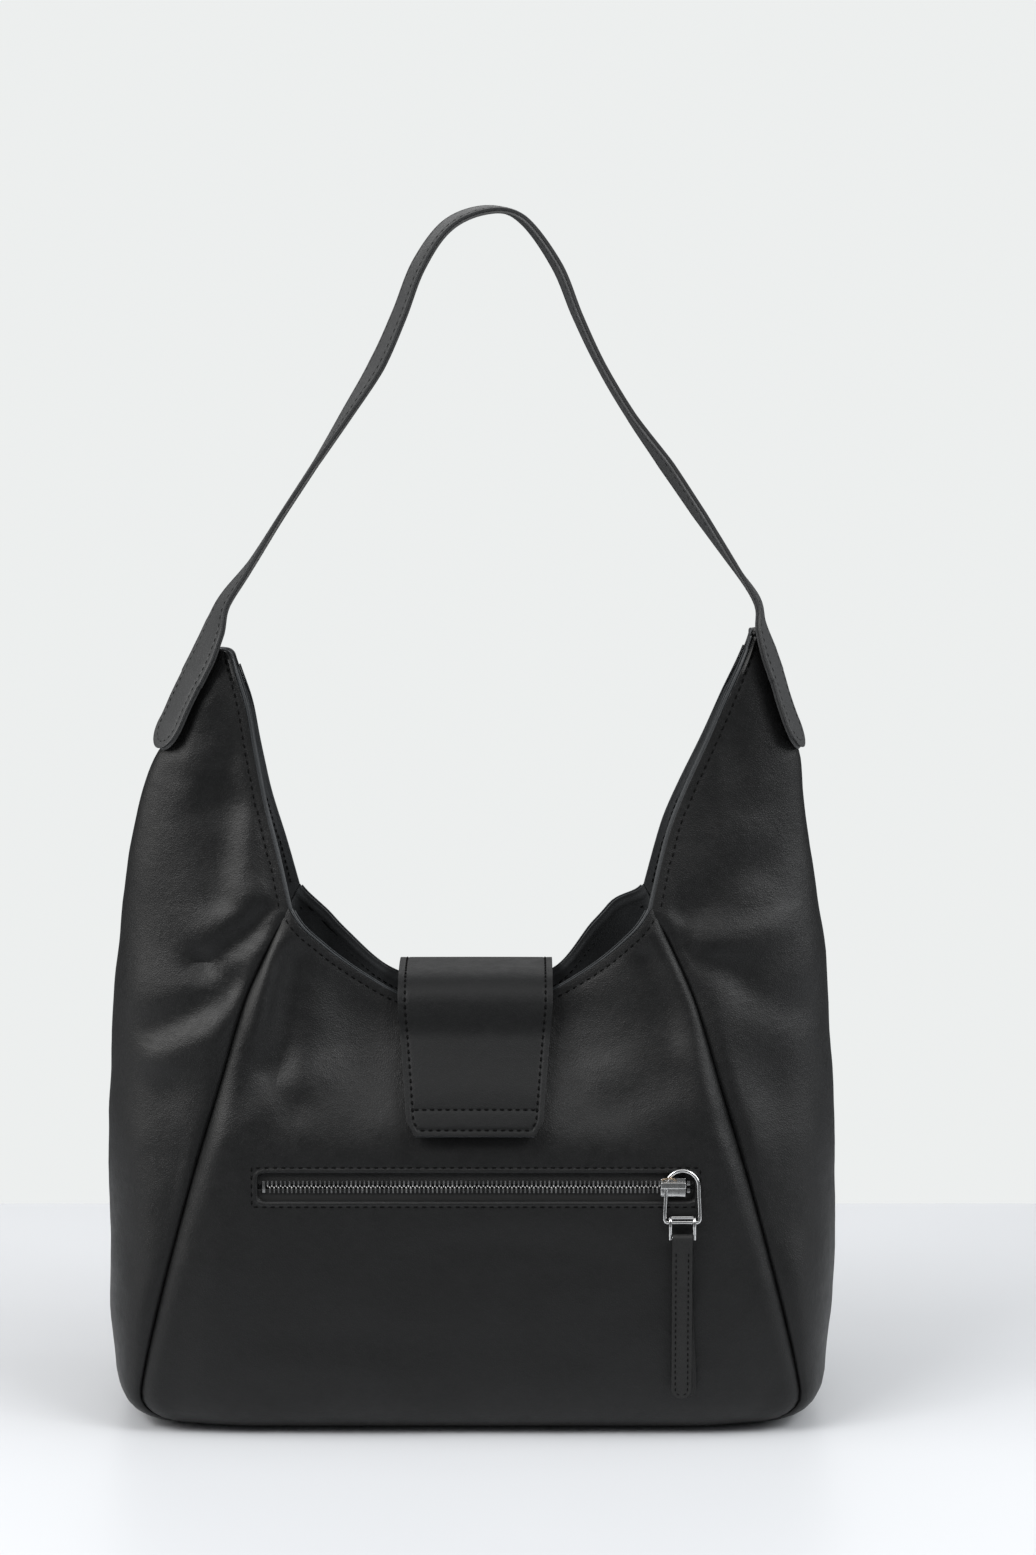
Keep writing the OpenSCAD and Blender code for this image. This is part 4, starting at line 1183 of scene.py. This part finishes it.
pull = {"tilt": 1.0, "drop": 15, "half": 6, "pinY": -2.8, "pinZ": -9.6, "wire": 0.88, "pin": 0.7}
atFrame = (atZip @ Matrix.Translation((ring["x"], ring["y"], -pull["drop"]))
           @ Matrix.Rotation(math.radians(zipper["tilt"] - pull["tilt"]), 4, "X"))
bm = bmesh.new()
half, py, pz = pull["half"], pull["pinY"], pull["pinZ"]
bend = [(0, py, pz - 0.9), (0, py, pz), (0, py, -4), (0, py, -1.6), (0, py * 0.75, -0.6), (0, py * 0.3, -0.1),
        (0.2, -0.1, 0), (0.7, 0, 0), (2, 0, 0), (half, 0, 0)]
path = [Vector((x - half, y, z)) for x, y, z in bend]
path += [Vector((-p.x, p.y, p.z)) for p in reversed(path[:-1])]
sweptWire(bm, path, pull["wire"], 12)
bmesh.ops.recalc_face_normals(bm, faces=bm.faces[:])
zipPiece(bm, "pullFrameWire", nickel, "frame", ["pull_frame"], atFrame)
bm = bmesh.new()
bmesh.ops.create_cone(bm, cap_ends=True, segments=20, radius1=pull["pin"], radius2=pull["pin"],
                      depth=2 * half - 1.9,
                      matrix=Matrix.Translation((0, py, pz)) @ Matrix.Rotation(math.radians(90), 4, "Y"))
roundEdges(bm, [e for e in bm.edges if max(len(f.verts) for f in e.link_faces) > 4], 0.15, 2)
zipPiece(bm, "pullPinBar", nickel, "frame", ["pull_pin"], atFrame)

atPin = atFrame @ Matrix.Translation((0, py, pz))
tab = {"half": 5, "end": -83, "loop": 1.7, "close": 1.05, "layer": 1.1, "face": 0.55, "groove": 1.9,
       "splay": 2.6, "parted": 0.5, "bow": 0.5, "row": 3.1, "rowOut": 1.2}
tabQuarter = math.pi / 2 * tab["loop"]
tabLong = tabQuarter - tab["end"]


def tabLinePoint(side, s):
    # from the top of the loop round the pin and down one face, s in millimetres
    if s < tabQuarter:
        a = s / tab["loop"]
        return Vector((side * tab["loop"] * math.sin(a), tab["loop"] * math.cos(a)))
    q = s - tabQuarter
    return Vector((side * (tab["loop"] - tab["close"] * ramp(q, 0, 9)), -q))


def tabSplay(side, z):
    # the rear layer swings out sideways towards its end
    return (tab["splay"] if side > 0 else 0.0) * ramp(-z, 18, 84)


def tabSway(side, z):
    # the bow of both layers, and the gap that opens between them
    parted = tab["parted"] * ramp(-z, 30, 83) if side > 0 else 0
    return tab["bow"] * math.sin(-z / 26) * ramp(-z, 6, 40) + parted


def tabPoint(side, f, s):
    p = tabLinePoint(side, s)
    left = (tabLong - s) / tab["half"]
    half = max(0.5, tab["half"] * (math.sqrt(max(0, 1 - (1 - left) ** 2)) if left < 1 else 1))
    edge = half - abs(f) * half
    n = tab["face"] - 0.16 * swell(edge, tab["groove"], 0.5) - 0.15 * abs(f) ** 6
    return Vector((f * half + tabSplay(side, p.y), p.x + side * n + tabSway(side, p.y), p.y))


tabColumns = mirrored([0, 0.3, 0.54, 0.62, 0.7, 0.78, 0.88, 0.96, 1])
tabRows = (steps(0, 7, 9) + steps(7, tabLong - 6, 36)
           + [tabLong - q for q in (6, 5, 4, 3, 2.1, 1.3, 0.7, 0.3, 0)])
for side, word, node in ((-1, "Front", "tab_front"), (1, "Rear", "tab_back")):
    bm = gridMesh(tabColumns, tabRows, lambda f, s: tabPoint(side, f, s), unit=1)
    bmesh.ops.recalc_face_normals(bm, faces=bm.faces[:])
    middle = [f for f in bm.faces if -45 < f.calc_center_median().z < -40][0]
    if middle.normal.y * side < 0:
        bmesh.ops.reverse_faces(bm, faces=bm.faces[:])
    piece = zipPiece(bm, "tab" + word + "Leather", tabLeather, "tab", [node], atPin, None)
    thicken(piece, tab["layer"], 0.3)

tabThread = {"pitch": 3.0, "long": 2.0, "wide": 0.6, "sunk": 0.1, "unit": 1}
bm = bmesh.new()
for side in (-1, 1):
    for edge in (-tab["row"], tab["row"]):
        spots = [Vector((edge + tabSplay(side, z), side * tab["rowOut"] + tabSway(side, z), z))
                 for z in steps(-7, tab["end"] + 4, 40)]
        spots += [Vector((edge * math.cos(a) + tabSplay(side, tab["end"] + 3 - 2 * math.sin(a)), spots[-1].y,
                          tab["end"] + 4 - 2.2 * math.sin(a))) for a in (0.3, 0.7, 1.1, 1.5)]
        sewRow(bm, spots, [Vector((0, side, 0))] * len(spots), **tabThread)
zipPiece(bm, "tabStitches", thread, "tab", (), atPin, None)


# the pocket behind the zip, one sheet folded at its bottom
# as height and distance in from the front panel's face
pocketLine = ([(z, 2.75) for z in (122, 112, 100, 88, 76, 64, 54, 47)] + [(43, 3.4), (42, 4.3), (43, 5.1)]
              + [(z, 5.6) for z in (47, 54, 64, 76, 88, 100, 112, 122, 131, 140, 146)] + [(149.5, 4.3)])


def pocketPoint(x, q):
    z, inset = pocketLine[q]
    wave = 0.25 * math.sin(x / 17 + q) * (1 if 3 < q < 19 else 0)
    return Vector((x, panelDepth(0, z, inset + wave), z))


bm = gridMesh(steps(-109, 115, 44) + [115], list(range(len(pocketLine))), pocketPoint)
pocket = makePiece(bm, "pocketBagCloth", liningCloth, replaced=["pocket_bag"])
thicken(pocket, 0.4, offset=0.0)
print("zip, slider, pull and pocket made")


# stage
studio = {"cameraAt": (0.024, -1.770, 0.640), "pitch": 10.0, "focal": 82.12,
          "floorBack": 0.344, "floorFront": -0.45, "floorHalf": 4, "floorTop": -0.0002,
          "floorDark": (0.60, 0.614, 0.636, 1), "floorLight": (0.64, 0.65, 0.67, 1),
          "wall": (0.845, 0.862, 0.858, 1), "air": (0.95, 0.98, 1, 1), "room": 0.15}
floorLong = studio["floorBack"] - studio["floorFront"]
floorMiddle = studio["floorBack"] - floorLong / 2
floor = bmesh.new()
bmesh.ops.create_grid(floor, x_segments=2, y_segments=2, size=1)
bmesh.ops.scale(floor, vec=(studio["floorHalf"], floorLong / 2, 1), verts=floor.verts[:])
bmesh.ops.translate(floor, vec=(0, floorMiddle, studio["floorTop"]), verts=floor.verts[:])
floorMesh = bpy.data.meshes.new("paleFloor")
floor.to_mesh(floorMesh)
floor.free()
floorPiece = bpy.data.objects.new("paleFloor", floorMesh)
scene.collection.objects.link(floorPiece)
paint = Paint("pale floor")
cloudy = paint.noise(3, 3)
floorTone = paint.tint(cloudy, studio["floorDark"], studio["floorLight"])
floorMesh.materials.append(paint.finish(Base_Color=floorTone, Roughness=0.35, Specular_IOR_Level=0.35))

world = bpy.data.worlds.new("studio")
scene.world = world
world.use_nodes = True
sky = world.node_tree
sky.nodes.clear()
shown = sky.nodes.new("ShaderNodeBackground")
shown.inputs["Color"].default_value = studio["wall"]
room = sky.nodes.new("ShaderNodeBackground")
room.inputs["Color"].default_value = studio["air"]
room.inputs["Strength"].default_value = studio["room"]
seen = sky.nodes.new("ShaderNodeLightPath")
pick = sky.nodes.new("ShaderNodeMixShader")
worldOut = sky.nodes.new("ShaderNodeOutputWorld")
sky.links.new(seen.outputs["Is Camera Ray"], pick.inputs[0])
sky.links.new(room.outputs[0], pick.inputs[1])
sky.links.new(shown.outputs[0], pick.inputs[2])
sky.links.new(pick.outputs[0], worldOut.inputs["Surface"])


def softbox(name, at, aim, wide, high, power, tone=(1, 1, 1)):
    light = bpy.data.lights.new(name, "AREA")
    light.shape, light.size, light.size_y = "RECTANGLE", wide, high
    light.energy, light.color = power, tone
    lamp = bpy.data.objects.new(name, light)
    lamp.location = at
    lamp.rotation_euler = (Vector(at) - Vector(aim)).to_track_quat("Z", "Y").to_euler()
    scene.collection.objects.link(lamp)


softbox("top box", (0.0, -0.35, 2.3), (0, 0, 0.2), 3.2, 2.2, 29)
softbox("left front box", (-1.4, -1.3, 2.0), (0, 0, 0.3), 1.2, 0.8, 30)
softbox("right front box", (1.5, -1.2, 2.0), (0, 0, 0.3), 1.0, 0.8, 24)
softbox("left box", (-1.8, -0.5, 1.2), (0, 0, 0.3), 1.3, 1.3, 26, (1, 0.99, 0.97))
softbox("right box", (1.9, -0.4, 1.2), (0, 0, 0.3), 1.3, 1.3, 24, (0.97, 0.99, 1))
softbox("back box", (0.0, 2.2, 1.6), (0, 0, 0.3), 2.4, 1.6, 12)

lens = bpy.data.cameras.new("camera")
lens.lens, lens.sensor_width, lens.sensor_fit = studio["focal"], 36, "AUTO"
lens.clip_start, lens.clip_end = 0.05, 50
eye = bpy.data.objects.new("camera", lens)
eye.location = studio["cameraAt"]
eye.rotation_euler = (math.radians(90 - studio["pitch"]), 0, 0)
scene.collection.objects.link(eye)
scene.camera = eye
scene.view_settings.view_transform = "Standard"
print("stage set")
